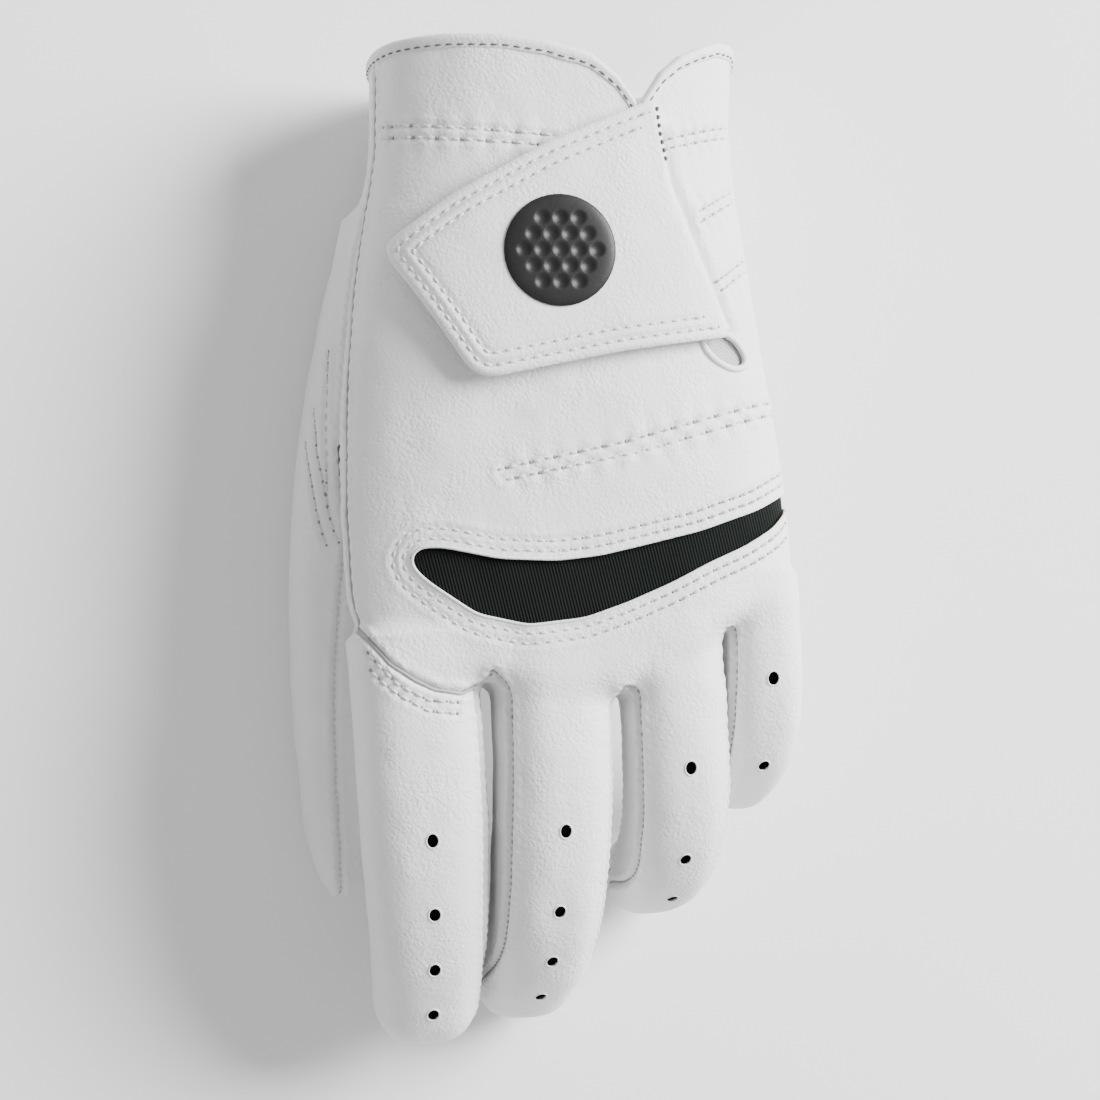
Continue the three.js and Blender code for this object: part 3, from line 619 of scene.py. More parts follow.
# ---- materials ----
class Finish:
    """A Principled material and short ways to add nodes to it."""

    def __init__(self, name, colour, roughness, **sockets):
        self.material = bpy.data.materials.new(name)
        self.material.use_nodes = True
        self.nodes, self.links = self.material.node_tree.nodes, self.material.node_tree.links
        self.shader = self.nodes["Principled BSDF"]
        self.shader.inputs["Base Color"].default_value = (*colour, 1)
        self.shader.inputs["Roughness"].default_value = roughness
        for socket, value in sockets.items():
            self.shader.inputs[socket.replace("_", " ")].default_value = value
        self.place = self.nodes.new("ShaderNodeTexCoord").outputs["Object"]

    def feed(self, socket, value):
        if isinstance(value, bpy.types.NodeSocket):
            self.links.new(value, socket)
        else:
            socket.default_value = value

    def node(self, kind, **inputs):
        made = self.nodes.new(kind)
        for key, value in inputs.items():
            self.feed(made.inputs[key.replace("_", " ")], value)
        return made

    def math(self, operation, a, b=0.0):
        made = self.nodes.new("ShaderNodeMath")
        made.operation = operation
        self.feed(made.inputs[0], a)
        self.feed(made.inputs[1], b)
        return made.outputs[0]

    def vector(self, operation, a, b, second=1):
        """Outputs of a vector operation. second is the number of b's input."""
        made = self.nodes.new("ShaderNodeVectorMath")
        made.operation = operation
        self.feed(made.inputs[0], a)
        self.feed(made.inputs[second], b)
        return made.outputs

    def wave(self, direction, pitch):
        """A sine from -1 to 1 along a direction, with a pitch in mm."""
        along = self.vector("DOT_PRODUCT", self.place, direction)["Value"]
        return self.math("SINE", self.math("MULTIPLY", along, 2 * math.pi / (pitch * MM)))

    def noise(self, size, detail=3.0, place=None):
        """A noise from 0 to 1 with features of a size in mm."""
        scale = 1 / (size * MM)
        made = self.node("ShaderNodeTexNoise", Vector=place or self.place, Scale=scale, Detail=detail)
        return made.outputs["Fac"]

    def ramp(self, value, low, high, dark, light):
        """A value from low to high turned into one from dark to light."""
        ends = dict(From_Min=low, From_Max=high, To_Min=dark, To_Max=light)
        return self.node("ShaderNodeMapRange", Value=value, **ends).outputs[0]

    def tint(self, factor, dark, light):
        mix = self.nodes.new("ShaderNodeMix")
        mix.data_type = "RGBA"
        self.links.new(factor, mix.inputs[0])
        mix.inputs[6].default_value, mix.inputs[7].default_value = (*dark, 1), (*light, 1)
        self.links.new(mix.outputs[2], self.shader.inputs["Base Color"])

    def bump(self, height, depth):
        """Height in shares of a depth in mm."""
        made = self.node("ShaderNodeBump", Height=height, Distance=depth * MM, Strength=1.0)
        self.links.new(made.outputs[0], self.shader.inputs["Normal"])


def grey(value, warm=0.0):
    """A grey, or a slightly warm one."""
    return value * (1 + warm), value, value * (1 - warm)


def leather_finish(name, value, pebble, depth):
    """Pebbled leather: its grain's size and depth are in mm."""
    made = Finish(name, grey(value), 0.5, Specular_IOR_Level=0.4, Sheen_Weight=0.06, Sheen_Roughness=0.5)
    warp = made.node("ShaderNodeTexNoise", Vector=made.place, Scale=1 / (2.2 * MM)).outputs["Color"]
    shift = made.vector("SCALE", warp, 1.1 * MM, 3)[0]
    bent = made.vector("ADD", made.place, shift)[0]
    cells = made.node("ShaderNodeTexVoronoi", Vector=bent, Scale=1 / (pebble * MM))
    cells.feature = "SMOOTH_F1"
    fine = made.noise(0.35, 2.0, bent)
    lines = made.ramp(cells.outputs["Distance"], 0.15, 0.75, 1.0, 0.0)
    patches = made.ramp(made.noise(9.0, 2.0), 0.35, 0.65, 0.35, 1.0)
    grain = made.math("ADD", made.math("MULTIPLY", lines, patches), made.math("MULTIPLY", fine, 0.45))
    made.bump(grain, depth)
    shades = made.ramp(made.noise(24.0), 0.3, 0.7, 0.0, 0.65)
    # Random tone from the broad noise, plus the grain: its creases darker as painted shade.
    tone_and_crease_shade = made.math("ADD", made.math("MULTIPLY", grain, 0.35), shades)
    made.tint(tone_and_crease_shade, grey(value * 0.93, 0.002), grey(value))
    made.links.new(made.ramp(grain, 0.0, 1.4, 0.6, 0.46), made.shader.inputs["Roughness"])
    return made.material


LEATHER = leather_finish("white_leather", 0.80, 0.65, 0.11)
# The strips between the fingers are the same white leather, coloured darker as painted shade.
SHADED_SIDE_LEATHER = leather_finish("side_strip_leather_painted_shade", 0.70, 0.65, 0.10)
TAPE_LEATHER = leather_finish("binding_leather", 0.79, 0.6, 0.09)


def suede_finish():
    made = Finish("leather_back", grey(0.62), 0.95, Sheen_Weight=0.3)
    nap = made.noise(0.25, 4.0)
    made.bump(nap, 0.12)
    # Colour follows the nap's bump: darker in its dips, as painted shade.
    made.tint(nap, grey(0.5, 0.01), grey(0.68, 0.01))
    return made.material


SUEDE = suede_finish()


def ribbed_finish(name, dark, light, pitch, direction, depth, shine=0.5, sheen=0.25):
    """A knit whose ribs are a pitch apart in mm, across a direction. Its colour runs from dark in the valleys
    to light on the crests, as painted shade.
    """
    made = Finish(name, light, 0.85, Sheen_Weight=sheen, Sheen_Roughness=0.4, Specular_IOR_Level=shine)
    rib = made.math("ADD", made.math("MULTIPLY", made.wave(direction, pitch), 0.5), 0.5)
    row = made.wave((-direction[1], direction[0], 0), pitch * 0.8)
    loops = made.math("MULTIPLY", made.math("ABSOLUTE", row), 0.45)
    height = made.math("ADD", rib, made.math("ADD", loops, made.math("MULTIPLY", made.noise(0.2), 0.3)))
    made.bump(height, depth)
    # Colour follows the bump's height: darker in the valleys, as painted shade.
    made.tint(made.math("MULTIPLY", height, 0.6), dark, light)
    return made.material


KNIT = ribbed_finish("ribbed_knit", (0.002, 0.003, 0.0025), (0.009, 0.012, 0.010), 0.6, (0.97, 0.24, 0),
                     0.2, 0.12, 0)
ELASTIC = ribbed_finish("woven_elastic", grey(0.5), grey(0.74), 0.9, (0.1, 0.99, 0), 0.2)
# A white woven lining coloured grey overall: painted shade, chosen for the inside of the eye and the slit.
LINING = ribbed_finish("woven_lining_painted_shade", grey(0.42), grey(0.68), 0.5, (0.7, 0.7, 0), 0.16)


def hole_shadow_finish():
    """A near-black sheet behind the perforations: painted shadow for the dark inside of each hole."""
    made = Finish("painted_hole_shadow", grey(0.003), 0.95, Specular_IOR_Level=0.1)
    made.bump(made.noise(0.3), 0.05)
    made.tint(made.noise(0.5), grey(0.002), grey(0.004))
    return made.material


PAINTED_HOLE_SHADOW = hole_shadow_finish()


def thread_finish(name, value):
    made = Finish(name, grey(value), 0.55, Sheen_Weight=0.2)
    ply = made.wave((0.8, 0.6, 0.3), 0.28)
    made.bump(made.math("ADD", made.math("MULTIPLY", ply, 0.5), 0.5), 0.05)
    # Colour follows the ply's bump: darker in the twist's grooves, as painted shade.
    made.tint(made.math("ADD", made.math("MULTIPLY", ply, 0.25), 0.6), grey(value * 0.8), grey(value))
    return made.material


THREAD = thread_finish("white_thread", 0.74)
DARK_THREAD = thread_finish("grey_thread", 0.10)
# A grey thread for the seam stitches, and also for the grey cord that paints the side seam's shadow line.
SEAM_THREAD_AND_SHADOW = thread_finish("seam_thread_and_shadow", 0.36)
# Dark dots at the stitches' ends: painted shadow in the needle holes.
HOLE_SHADE = thread_finish("needle_hole_shadows", 0.30)


def brushed_finish(name, value):
    """Hook and loop pile, darker in its pits as painted shade."""
    made = Finish(name, grey(value), 0.95, Sheen_Weight=0.5)
    pile = made.node("ShaderNodeTexVoronoi", Vector=made.place, Scale=1 / (0.45 * MM))
    tangle = made.math("ADD", pile.outputs["Distance"], made.math("MULTIPLY", made.noise(0.3, 4.0), 0.6))
    made.bump(tangle, 0.35)
    # Colour follows the pile's bump: darker in the pits, as painted shade.
    made.tint(tangle, grey(value * 0.7), grey(value))
    return made.material


PILE = brushed_finish("loop_pile", 0.70)
HOOKS = brushed_finish("hook_tape", 0.62)


def rubber_finish():
    made = Finish("moulded_disc", grey(0.014), 0.45, Specular_IOR_Level=0.25)
    skin = made.noise(0.4, 4.0)
    made.bump(skin, 0.02)
    made.tint(made.ramp(made.noise(6.0), 0.3, 0.7, 0.0, 1.0), grey(0.011), grey(0.016))
    made.links.new(made.ramp(skin, 0.2, 0.8, 0.36, 0.5), made.shader.inputs["Roughness"])
    return made.material


RUBBER = rubber_finish()


# ---- where the panels meet, as functions of place: above 0 on the named side ----
def hand_elevation(p):
    """Degrees above the hand's side, from -90 in the palm to 90 on the back, and if it's the right side."""
    cx, cz, a, b = smooth(HAND, p[:, 1])
    up, out = power((p[:, 2] - cz) / b, OVAL / 2), np.abs((p[:, 0] - cx) / a) ** (OVAL / 2)
    return np.degrees(np.arctan2(up, out)), p[:, 0] > cx


def cuff_height(p):
    """How far below the cuff's edge a point is."""
    up, right = hand_elevation(p)
    around = np.where(right, up, 180 - up) % 360
    return linear(CUFF, around) - p[:, 1]


INDEX_SEAM = [(-60, -4), (-42, -7), (-41, -12), (-39.2, -18.3), (-34.4, -24.1), (-29.6, -27.2), (-25.8, -29),
              (-20.1, -29.8), (-16.5, -28.4), (-14, -70), (60, -70)]


def on_back(p):
    """Above 0 on the back of the hand, up to its side seams and the index finger's seam."""
    up, right = hand_elevation(p)
    seam = np.where(right, SEAM_LITTLE, 180 - SEAM_THUMB)
    return np.minimum((up - seam) * 0.5, p[:, 1] - linear(INDEX_SEAM, p[:, 0]))


def in_stall(name):
    """Above 0 on a finger past its base."""
    finger = FINGERS[name]
    forward = finger_axes(finger)[0]
    others = [other for other in LONG if other != name]

    def value(p):
        along = (p - np.array(finger["root"])) @ forward - finger["base"]
        own = field_near(name, p)
        return np.minimum.reduce([along] + [field_near(other, p) - own for other in others])

    return value


ARC = 0.17  # length of a degree round a finger


def side_angle(name, p):
    """Parameter on a finger, angle round it, and degrees above the nearer of its sides."""
    t, angle = finger_angle(FINGERS[name], p)
    return t, angle, np.where(np.abs(angle) < 90, angle, np.sign(angle) * (180 - np.abs(angle)))


def on_strip(name, right):
    """Above 0 on a finger's side strip, to the right or the left. The strip closes in towards the tip."""
    def value(p):
        t, angle, up = side_angle(name, p)
        narrow = 1 - 0.86 * ease((t - 0.60) / 0.28)
        side = (90 - np.abs(angle)) * (1 if right else -1)
        return np.minimum.reduce([(SIDE_BACK * narrow - up) * ARC, (up + SIDE_PALM * narrow) * ARC, side])

    return value


def on_finger_back(name):
    """Above 0 on the back half of a finger: down to its strips, and to the side seam on the little finger."""
    def value(p):
        _, angle, up = side_angle(name, p)
        return (up - np.where(np.abs(angle) < 90, SEAM_LITTLE, 0)) * ARC

    return value


def on_web(left, right):
    """Above 0 on the strip that goes round between two fingers."""
    strips = on_strip(left, True), on_strip(right, False)

    def value(p):
        near = np.minimum(field_near(left, p), field_near(right, p)) < 20
        near &= p[:, 1] < linear(FRONT, p[:, 0]) + 7
        found = np.full(len(p), -9.0)
        q = p[near]
        nearer = field_near(left, q) < field_near(right, q)
        found[near] = np.where(nearer, strips[0](q), strips[1](q))
        return found

    return value


def hole_places(name):
    """Centres and outward normals of a finger's perforations."""
    finger = FINGERS[name]
    holes = finger["holes"]
    if not holes:
        return np.zeros((0, 3)), np.zeros((0, 3))
    centre, _, normal, _ = finger_frame(finger, holes)
    rise = finger_size(finger, np.array(holes))[1]
    return centre + normal * rise[:, None], normal


def beside_holes(name):
    """Above 0 off a finger's perforations."""
    centres, normals = hole_places(name)
    across = finger_axes(FINGERS[name])[2]

    def value(p):
        best = np.full(len(p), 9.0)
        for centre, normal in zip(centres, normals):
            rel = p - centre
            high, sideways = rel @ normal, rel @ across
            along = rel @ np.cross(normal, across)
            off = np.hypot(sideways, along / HOLE_LONG)
            best = np.where(np.abs(high) < 4, np.minimum(best, off - HOLE), best)
        return best

    return value


def line_distance(line):
    """Distance in plan from a line through points, as a function of place."""
    line = np.array(line, float)

    def distance(p):
        best = np.full(len(p), 1e9)
        for start, end in zip(line, line[1:]):
            d = end - start
            t = np.clip(((p[:, :2] - start) @ d) / (d @ d), 0, 1)
            best = np.minimum(best, np.linalg.norm(p[:, :2] - start - t[:, None] * d, axis=1))
        return best

    return distance


from_slit, from_eye = line_distance(SLIT), line_distance(EYE)


def slit_distance(p):
    """Above 0 in the narrow cut and in the round eye that it ends in."""
    return -soft_min(from_slit(p) - SLIT_HALF, from_eye(p) - EYE_RADIUS, 1.5)


insert_distance = outline_distance(INSERT)


def top_only(distance, p):
    """An outline's distance in plan, on the back of the hand only."""
    return np.where(hand_elevation(p)[0] > SEAM_LITTLE - 4, distance(p), -9.0)


# ---- the skin, found once and then cut into panels ----
# Boxes round the glove without its thumb, and round the thumb.
GLOVE_LOW, GLOVE_HIGH = (-47, -104, -47), (54, 103, 22)
THUMB_LOW, THUMB_HIGH = (-57, -80, -45), (-2, 80, 12)


def found_surface(field, low, high):
    points, tris = surface_net(field, low, high)
    points, normal = settle(field, points)
    return np.hstack([points, normal]), tris


def below_tape(p):
    """Above 0 where the leather goes on below the cuff's tape."""
    return cuff_height(p) - BINDING + 0.6


def off_thumb(p):
    """Above 0 where the palm is free of the thumb's base."""
    apart = thumb_alone(p) - hand_field(p) - thumb_softness(p)
    return np.maximum(apart, PALM_CUT - p[:, 1])


glove = cut(cut(found_surface(glove_field, GLOVE_LOW, GLOVE_HIGH), below_tape), off_thumb)
panels = {}  # name: surface
hand_part = glove
for name in LONG:
    stall = in_stall(name)
    finger, hand_part = halves(hand_part, stall)
    if name != "little":
        panels[name + "_fourchette_right"], finger = halves(finger, on_strip(name, True))
    if name != "index":
        panels[name + "_fourchette_left"], finger = halves(finger, on_strip(name, False))
        panels[name + "_back"], panels[name + "_palm"] = halves(finger, on_finger_back(name))
        panels[name + "_back"] = cut(panels[name + "_back"], beside_holes(name))
    else:
        panels["index_wrap"] = cut(finger, beside_holes(name))
for left, right in zip(LONG, LONG[1:]):
    panels[f"fourchette_{left}_{right}"], hand_part = halves(hand_part, on_web(left, right))
back, panels["palm_leather"] = halves(hand_part, on_back)
panels["knuckle_insert"] = cut(back, lambda p: top_only(insert_distance, p) + 1.8)
panels["slit_lining"] = cut(back, lambda p: top_only(slit_distance, p) + 3.2)
back = cut(back, lambda p: -top_only(insert_distance, p))
panels["back_leather"] = cut(back, lambda p: -top_only(slit_distance, p))

thumb_skin = found_surface(thumb_field, THUMB_LOW, THUMB_HIGH)
thumb_skin = cut(thumb_skin, lambda p: thumb_softness(p) - thumb_alone(p) + hand_field(p))
thumb_skin = biggest(thumb_skin)
thumb_forward = finger_axes(THUMB)[0]


def past_gusset(p):
    """Above 0 on the thumb past its gusset."""
    return (p - np.array(THUMB["root"])) @ thumb_forward - THUMB["base"]


def on_thumb_back(p):
    """Above 0 on the thumb's outer half."""
    return np.sin(np.radians(finger_angle(THUMB, p)[1])) * 8


thumb_tip, panels["thumb_gusset"] = halves(thumb_skin, past_gusset)
panels["thumb_back"], panels["thumb_palm"] = halves(thumb_tip, on_thumb_back)

# Panel edges that aren't sewn seams: cuts where each stall begins, and edges that are bound or open.
BEND_CUTS = [in_stall(name) for name in LONG] + [past_gusset]
OPEN_EDGES = [insert_distance, slit_distance, below_tape] + [beside_holes(name) for name in LONG]


def seam_points(surface):
    """The edge of a panel where it is sewn to another."""
    rows, tris = surface
    points = rows[np.unique(rim(tris)), :3]
    keep = np.ones(len(points), bool)
    for value in BEND_CUTS + OPEN_EDGES:
        keep &= np.abs(value(points)) > 0.2
    return points[keep]


SEWN = [name for name in panels if name not in ("knuckle_insert", "slit_lining")]
seam_tree = tree_of(np.concatenate([seam_points(panels[name]) for name in SEWN]))

# ---- stitch rows over the hand ----
PITCH = 2.4
FINE_PITCH = 1.4
# Plan points of rows of white stitches: gathers over elastic, the index finger's seam, and the thumb's.
GATHERS = [
    [(-33.8, 82.2), (-21.4, 80.7), (-1.5, 79)],
    [(-33.8, 79.9), (-21.5, 78.4), (-4.5, 77.2)],
    [(-12.8, 12.2), (-13.1, 13.6), (11.7, 19), (43.6, 28.2)],
    [(-12.5, 11.4), (14.6, 17), (43.8, 25.8)],
]
FINE_GATHERS = [
    [(20.4, 78.7), (35.6, 83.2)],
    [(20.8, 77.0), (35.2, 81.0)],
    [(27.4, 64.8), (36.3, 70.3)],
    [(27.4, 62.5), (36.5, 68.2)],
    [(30.9, 51), (39.4, 57.0)],
    [(32, 49.4), (39.8, 55)],
]
INDEX_ROWS = [
    [(-38.6, -21.4), (-37, -23.6), (-32.8, -28.2), (-26.9, -31.0), (-20.7, -31.4)],
    [(-38.2, -24.8), (-36.3, -27.0), (-32.5, -30.2), (-26.9, -33.1), (-20.7, -33.6)],
]
THUMB_ROWS = [
    [(-43.9, 39.3), (-44.6, 26), (-44.3, 10.4)],
    [(-46.7, 28.3), (-46.2, 19), (-44.9, 12.4), (-43.6, 6), (-41.8, 1)],
    [(-48.4, 29.0), (-48.0, 19), (-46.9, 11.5), (-45.6, 5), (-44.2, 0.5)],
]
INSERT_ROWS = (1.6, 3.6)  # how far outside the insert its two rows are


def resampled(points, pitch):
    """A polyline's points at even steps, middles of the steps first."""
    points = np.asarray(points, float)
    steps = np.linalg.norm(np.diff(points, axis=0), axis=1)
    length = np.concatenate([[0], np.cumsum(steps)])
    count = max(1, int(length[-1] / pitch))
    at = (np.arange(count) + 0.5) * length[-1] / count
    return np.stack([np.interp(at, length, points[:, i]) for i in range(points.shape[1])], axis=1)


def smoothed(points, rounds=3):
    points = np.array(points, float)
    for _ in range(rounds):
        points[1:-1] = (points[:-2] + 2 * points[1:-1] + points[2:]) / 4
    return points


def grown(outline, margin):
    """A smooth copy of a clockwise outline, further out by a margin."""
    line = smoothed(resampled(outline, 1.0))
    way = np.gradient(line, axis=0)
    way /= np.linalg.norm(way, axis=1, keepdims=True)
    return line + np.stack([way[:, 1], -way[:, 0]], axis=1) * margin


def dropped(field, plan):
    """Points of a field's surface straight below plan points, with normals."""
    p = np.column_stack([plan, np.full(len(plan), 26.0)])
    for _ in range(60):
        p[:, 2] -= np.clip(field(p) * 0.7, -1.0, 3.0)
    return settle(field, p)


def insert_row(margin):
    """A plan row outside the insert, which ends at the little finger's side."""
    line = grown(INSERT, margin)
    return line[line[:, 0] < 46.5]


def seen_row(field, row):
    """The stretch of a plan row that is on skin facing up."""
    path, normals = dropped(field, resampled(row, 0.5))
    up = normals[:, 2] > 0.2
    return path[up], normals[up]


fine_rows = [seen_row(glove_field, row) for row in FINE_GATHERS]
gather_rows = [seen_row(glove_field, row) for row in GATHERS]
index_rows = [seen_row(glove_field, row) for row in INDEX_ROWS]
insert_rows = [seen_row(glove_field, insert_row(margin)) for margin in INSERT_ROWS]
thumb_rows = [seen_row(thumb_field, row) for row in THUMB_ROWS]
all_rows = fine_rows + gather_rows + index_rows + insert_rows + thumb_rows


def stitch_phase(path, pitch):
    """How many stitches along a row each of its points is."""
    steps = np.linalg.norm(np.diff(path, axis=0), axis=1)
    length = np.concatenate([[0], np.cumsum(steps)])
    return length * max(1, int(length[-1] / pitch)) / length[-1]


row_tree = tree_of(np.concatenate([points for points, _ in all_rows]))
row_phase = np.concatenate([stitch_phase(points, FINE_PITCH if i < len(fine_rows) else PITCH)
                            for i, (points, _) in enumerate(all_rows)])
row_gather = np.arange(len(row_phase)) < sum(len(points) for points, _ in fine_rows + gather_rows)


# The leather dips beside the tab's sewn edge, where the tab pulls on it.
CREASE = [(20.1, 80), (22.0, 70.6), (26.9, 58.4), (33.9, 41.8)]
from_crease = line_distance(CREASE)
SOFTNESS = [(0.40, (1, 0.45, 1), 13, 1), (0.18, 1, 6, 2), (0.05, 1, 2.6, 3)]  # height, stretch, size, seed
# Ridges and, below 0, grooves beside a line: height, distance from the line, width.
CREASE_SHAPE = [(-0.9, 0, 0.8), (0.25, 2.2, 1.0)]
SEAM_SHAPE = [(-0.85, 0, 0.5), (0.25, 1.4, 0.7)]
PUCKER = (1.9, 2.3, 1.7)  # how fast the puckers beside a seam follow each other along the axes


def ridge(distance, at, width):
    """A rounded ridge of height 1 at a distance from a line."""
    return np.exp(-((distance - at) / width) ** 2)


def shaped(distance, shape):
    """Height of a list of ridges at distances from a line."""
    return sum(height * ridge(distance, at, width) for height, at, width in shape)


def folds(p):
    """How far the leather's own softness moves the skin out."""
    soft = sum(height * noise(p * stretch, size, seed) for height, stretch, size, seed in SOFTNESS)
    return soft + shaped(from_crease(p), CREASE_SHAPE) * (p[:, 2] > 0)


def skin_offset(p):
    """Folds, seam grooves with puckers, and stitch rows that dip at each needle hole."""
    seam, _ = nearest(seam_tree, p)
    row, at = nearest(row_tree, p)
    groove = shaped(seam, SEAM_SHAPE)
    pucker = 0.12 * np.sin(p @ PUCKER) * ridge(seam, 1.2, 0.9)
    dip = 0.72 + 0.28 * np.cos(2 * math.pi * row_phase[at])
    sunk = -0.36 * dip * ridge(row, 0, 0.62) + 0.13 * ridge(row, 1.2, 0.6)
    gathered = 0.16 * row_gather[at] * np.cos(math.pi * row_phase[at]) * ridge(row, 0, 2.6)
    return folds(p) + groove + pucker + sunk + gathered


def laid(surface, sink=0.0):
    """A surface's points moved out by the skin's offset, but not through the plane under the glove, and their
    inward directions."""
    rows, tris = surface
    p, n = rows[:, :3], rows[:, 3:]
    n = n / np.maximum(np.linalg.norm(n, axis=1, keepdims=True), 1e-9)
    p = p + n * (skin_offset(p) - sink)[:, None]
    p[:, 2] = np.maximum(p[:, 2], floor_height(p[:, 1]) + 0.02)
    return p, -n, tris


def hand_panel(name, panel, node, material=LEATHER, slot="leather", sink=0.0, thickness=WALL, inside=SUEDE):
    """A panel of the hand as a piece. sink is how far under the skin it lies."""
    place(shell(name, *laid(panels[panel], sink), material, thickness, inside), "root", slot, [node])


def bend_with(piece, name, nodes=()):
    """A piece with its transform baked where it stands, and the CAD nodes that it replaces hidden."""
    finger = FINGERS[name]
    centre, way, _, _ = finger_frame(finger, [finger["bend"]])
    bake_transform(piece)
    if nodes:
        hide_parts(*nodes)


hand_panel("back_leather", "back_leather", "back_panel")
hand_panel("palm_leather", "palm_leather", "palm_panel")
hand_panel("thumb_gusset_leather", "thumb_gusset", "thumb_gusset")
for left, right in zip(LONG, LONG[1:]):
    name = f"fourchette_{left}_{right}"
    hand_panel(name + "_strip", name, name, SHADED_SIDE_LEATHER)
hand_panel("knuckle_insert", "knuckle_insert", "knuckle_stretch_insert", KNIT, "stretch_knit",
           sink=0.75, thickness=0.6, inside=KNIT)
hand_panel("slit_lining", "slit_lining", "slit_facing", LINING, "leather_binding",
           sink=0.85, thickness=0.6, inside=LINING)

STALL_PANELS = {
    "index": ("wrap", "fourchette_right"),
    "middle": ("back", "palm", "fourchette_left", "fourchette_right"),
    "ring": ("back", "palm", "fourchette_left", "fourchette_right"),
    "little": ("back", "palm", "fourchette_left"),
    "thumb": ("back", "palm"),
}
for name, parts in STALL_PANELS.items():
    sleeve = [hinge_name(name).replace("bend", "sleeve")]  # the first panel stands for the sleeve too
    for part in parts:
        panel = f"{name}_{part}"
        # Strips get the darker leather: painted shade between the fingers.
        finish = SHADED_SIDE_LEATHER if "fourchette" in part else LEATHER
        piece = shell(panel, *laid(panels[panel]), finish, WALL, SUEDE)
        bend_with(piece, name, nodes=sleeve + [panel + "_tip"])
        sleeve = []


# ---- stitches ----
def capsule(length, width, height, rings=7, sides=6):
    """A stitch along X, arched over Z = 0: points, quads and triangles."""
    s = np.linspace(-1, 1, rings)
    turn = np.radians(np.arange(sides) * 360 / sides)
    full = np.sqrt(np.maximum(1 - s**4, 0.02))
    x = np.repeat(s * length / 2, sides)
    y = np.outer(full, np.cos(turn)).ravel() * width / 2
    z = np.outer(full, np.sin(turn)).ravel() * height / 2 + np.repeat(0.2 * (1 - s**2) - 0.12, sides)
    a, b = ring_grid(rings - 1, sides)
    quads = np.stack([a, a + sides, b + sides, b], axis=2).reshape(-1, 4)
    ends = np.array([[0, k, k + 1] for k in range(1, sides - 1)])
    last = (rings - 1) * sides
    return np.column_stack([x, y, z]), quads[:, ::-1], np.concatenate([ends[:, ::-1], ends + last])


NEEDLE_SHADOW_RADIUS = 0.36  # radius of the dark dot painted as the shadow in a needle hole


def dot(radius, height=0.1, sides=8):
    """A low dome on Z = 0, closed."""
    turn = np.radians(np.arange(sides) * 360 / sides)
    ring = np.column_stack([np.cos(turn) * radius, np.sin(turn) * radius, np.full(sides, -0.1)])
    k = np.arange(sides)
    fan = np.stack([k, (k + 1) % sides, np.full(sides, sides)], axis=1)
    base = np.array([[0, i + 1, i] for i in range(1, sides - 1)])
    return np.vstack([ring, (0, 0, height)]), np.zeros((0, 4), int), np.concatenate([fan, base])


def unit(rows):
    return rows / np.maximum(np.linalg.norm(rows, axis=1, keepdims=True), 1e-9)


def copies(shape, centres, ways, normals):
    """A shape set at each of many places: all points, quads and triangles."""
    points, quads, tris = shape
    normals = unit(normals)
    ways = unit(ways - (ways * normals).sum(1)[:, None] * normals)
    axes = np.stack([ways, np.cross(normals, ways), normals], axis=1)
    out = (centres[:, None, :] + np.einsum("pi,nij->npj", points, axes)).reshape(-1, 3)
    shift = (np.arange(len(centres)) * len(points))[:, None, None]
    return out, (quads[None] + shift).reshape(-1, 4), (tris[None] + shift).reshape(-1, 3)


def stitch_spots(path, normals, pitch):
    """Places, directions and normals of the stitches along a path of points."""
    both = resampled(np.hstack([path, normals]), pitch)
    centres, n = both[:, :3], both[:, 3:]
    ways = np.gradient(centres, axis=0) if len(centres) > 1 else path[-1:] - path[:1]
    return centres, ways, n


def sewn(name, paths, follow, material=THREAD, pitch=PITCH, share=0.66, width=0.6, lift=0.10, holes=True):
    """Rows of stitches as one piece, and dark dots at their needle holes, painted shadow, as another. follow
    places each piece.
    """
    spots = [stitch_spots(points, normal, pitch) for points, normal in paths]
    centres, ways, normals = (np.concatenate([spot[i] for spot in spots]) for i in range(3))
    normals, ways = unit(normals), unit(ways)
    stitch = capsule(pitch * share, width, width * 0.9)
    points, quads, tris = copies(stitch, centres + normals * lift, ways, normals)
    follow(mesh_object(name, points, [quads, tris], material))
    if holes:
        # Dark domes at each stitch's ends: painted shadow in the needle holes.
        ends = np.concatenate([centres - ways * pitch / 2, centres + ways * pitch / 2])
        points, quads, tris = copies(dot(NEEDLE_SHADOW_RADIUS), ends, np.tile(ways, (2, 1)), np.tile(normals, (2, 1)))
        follow(mesh_object(name + "_needle_hole_shadows", points, [tris], HOLE_SHADE))


# Ways for sewn and bead to place a piece: on a body, or baked where it stands.
def with_body(body, slot="leather"):
    return lambda piece: place(piece, body, slot)


def with_finger(name):
    return lambda piece: bend_with(piece, name)


def on_skin(rows):
    """Rows of points and normals moved out with the skin."""
    return [(points + normals * skin_offset(points)[:, None], normals) for points, normals in rows]


sewn("fine_gather_stitches", on_skin(fine_rows), with_body("root"), pitch=FINE_PITCH, width=0.5)
sewn("gather_stitches", on_skin(gather_rows), with_body("root"))
sewn("panel_stitches", on_skin(index_rows + insert_rows), with_body("root"))
sewn("thumb_stitches", on_skin(thumb_rows), with_body("root"))


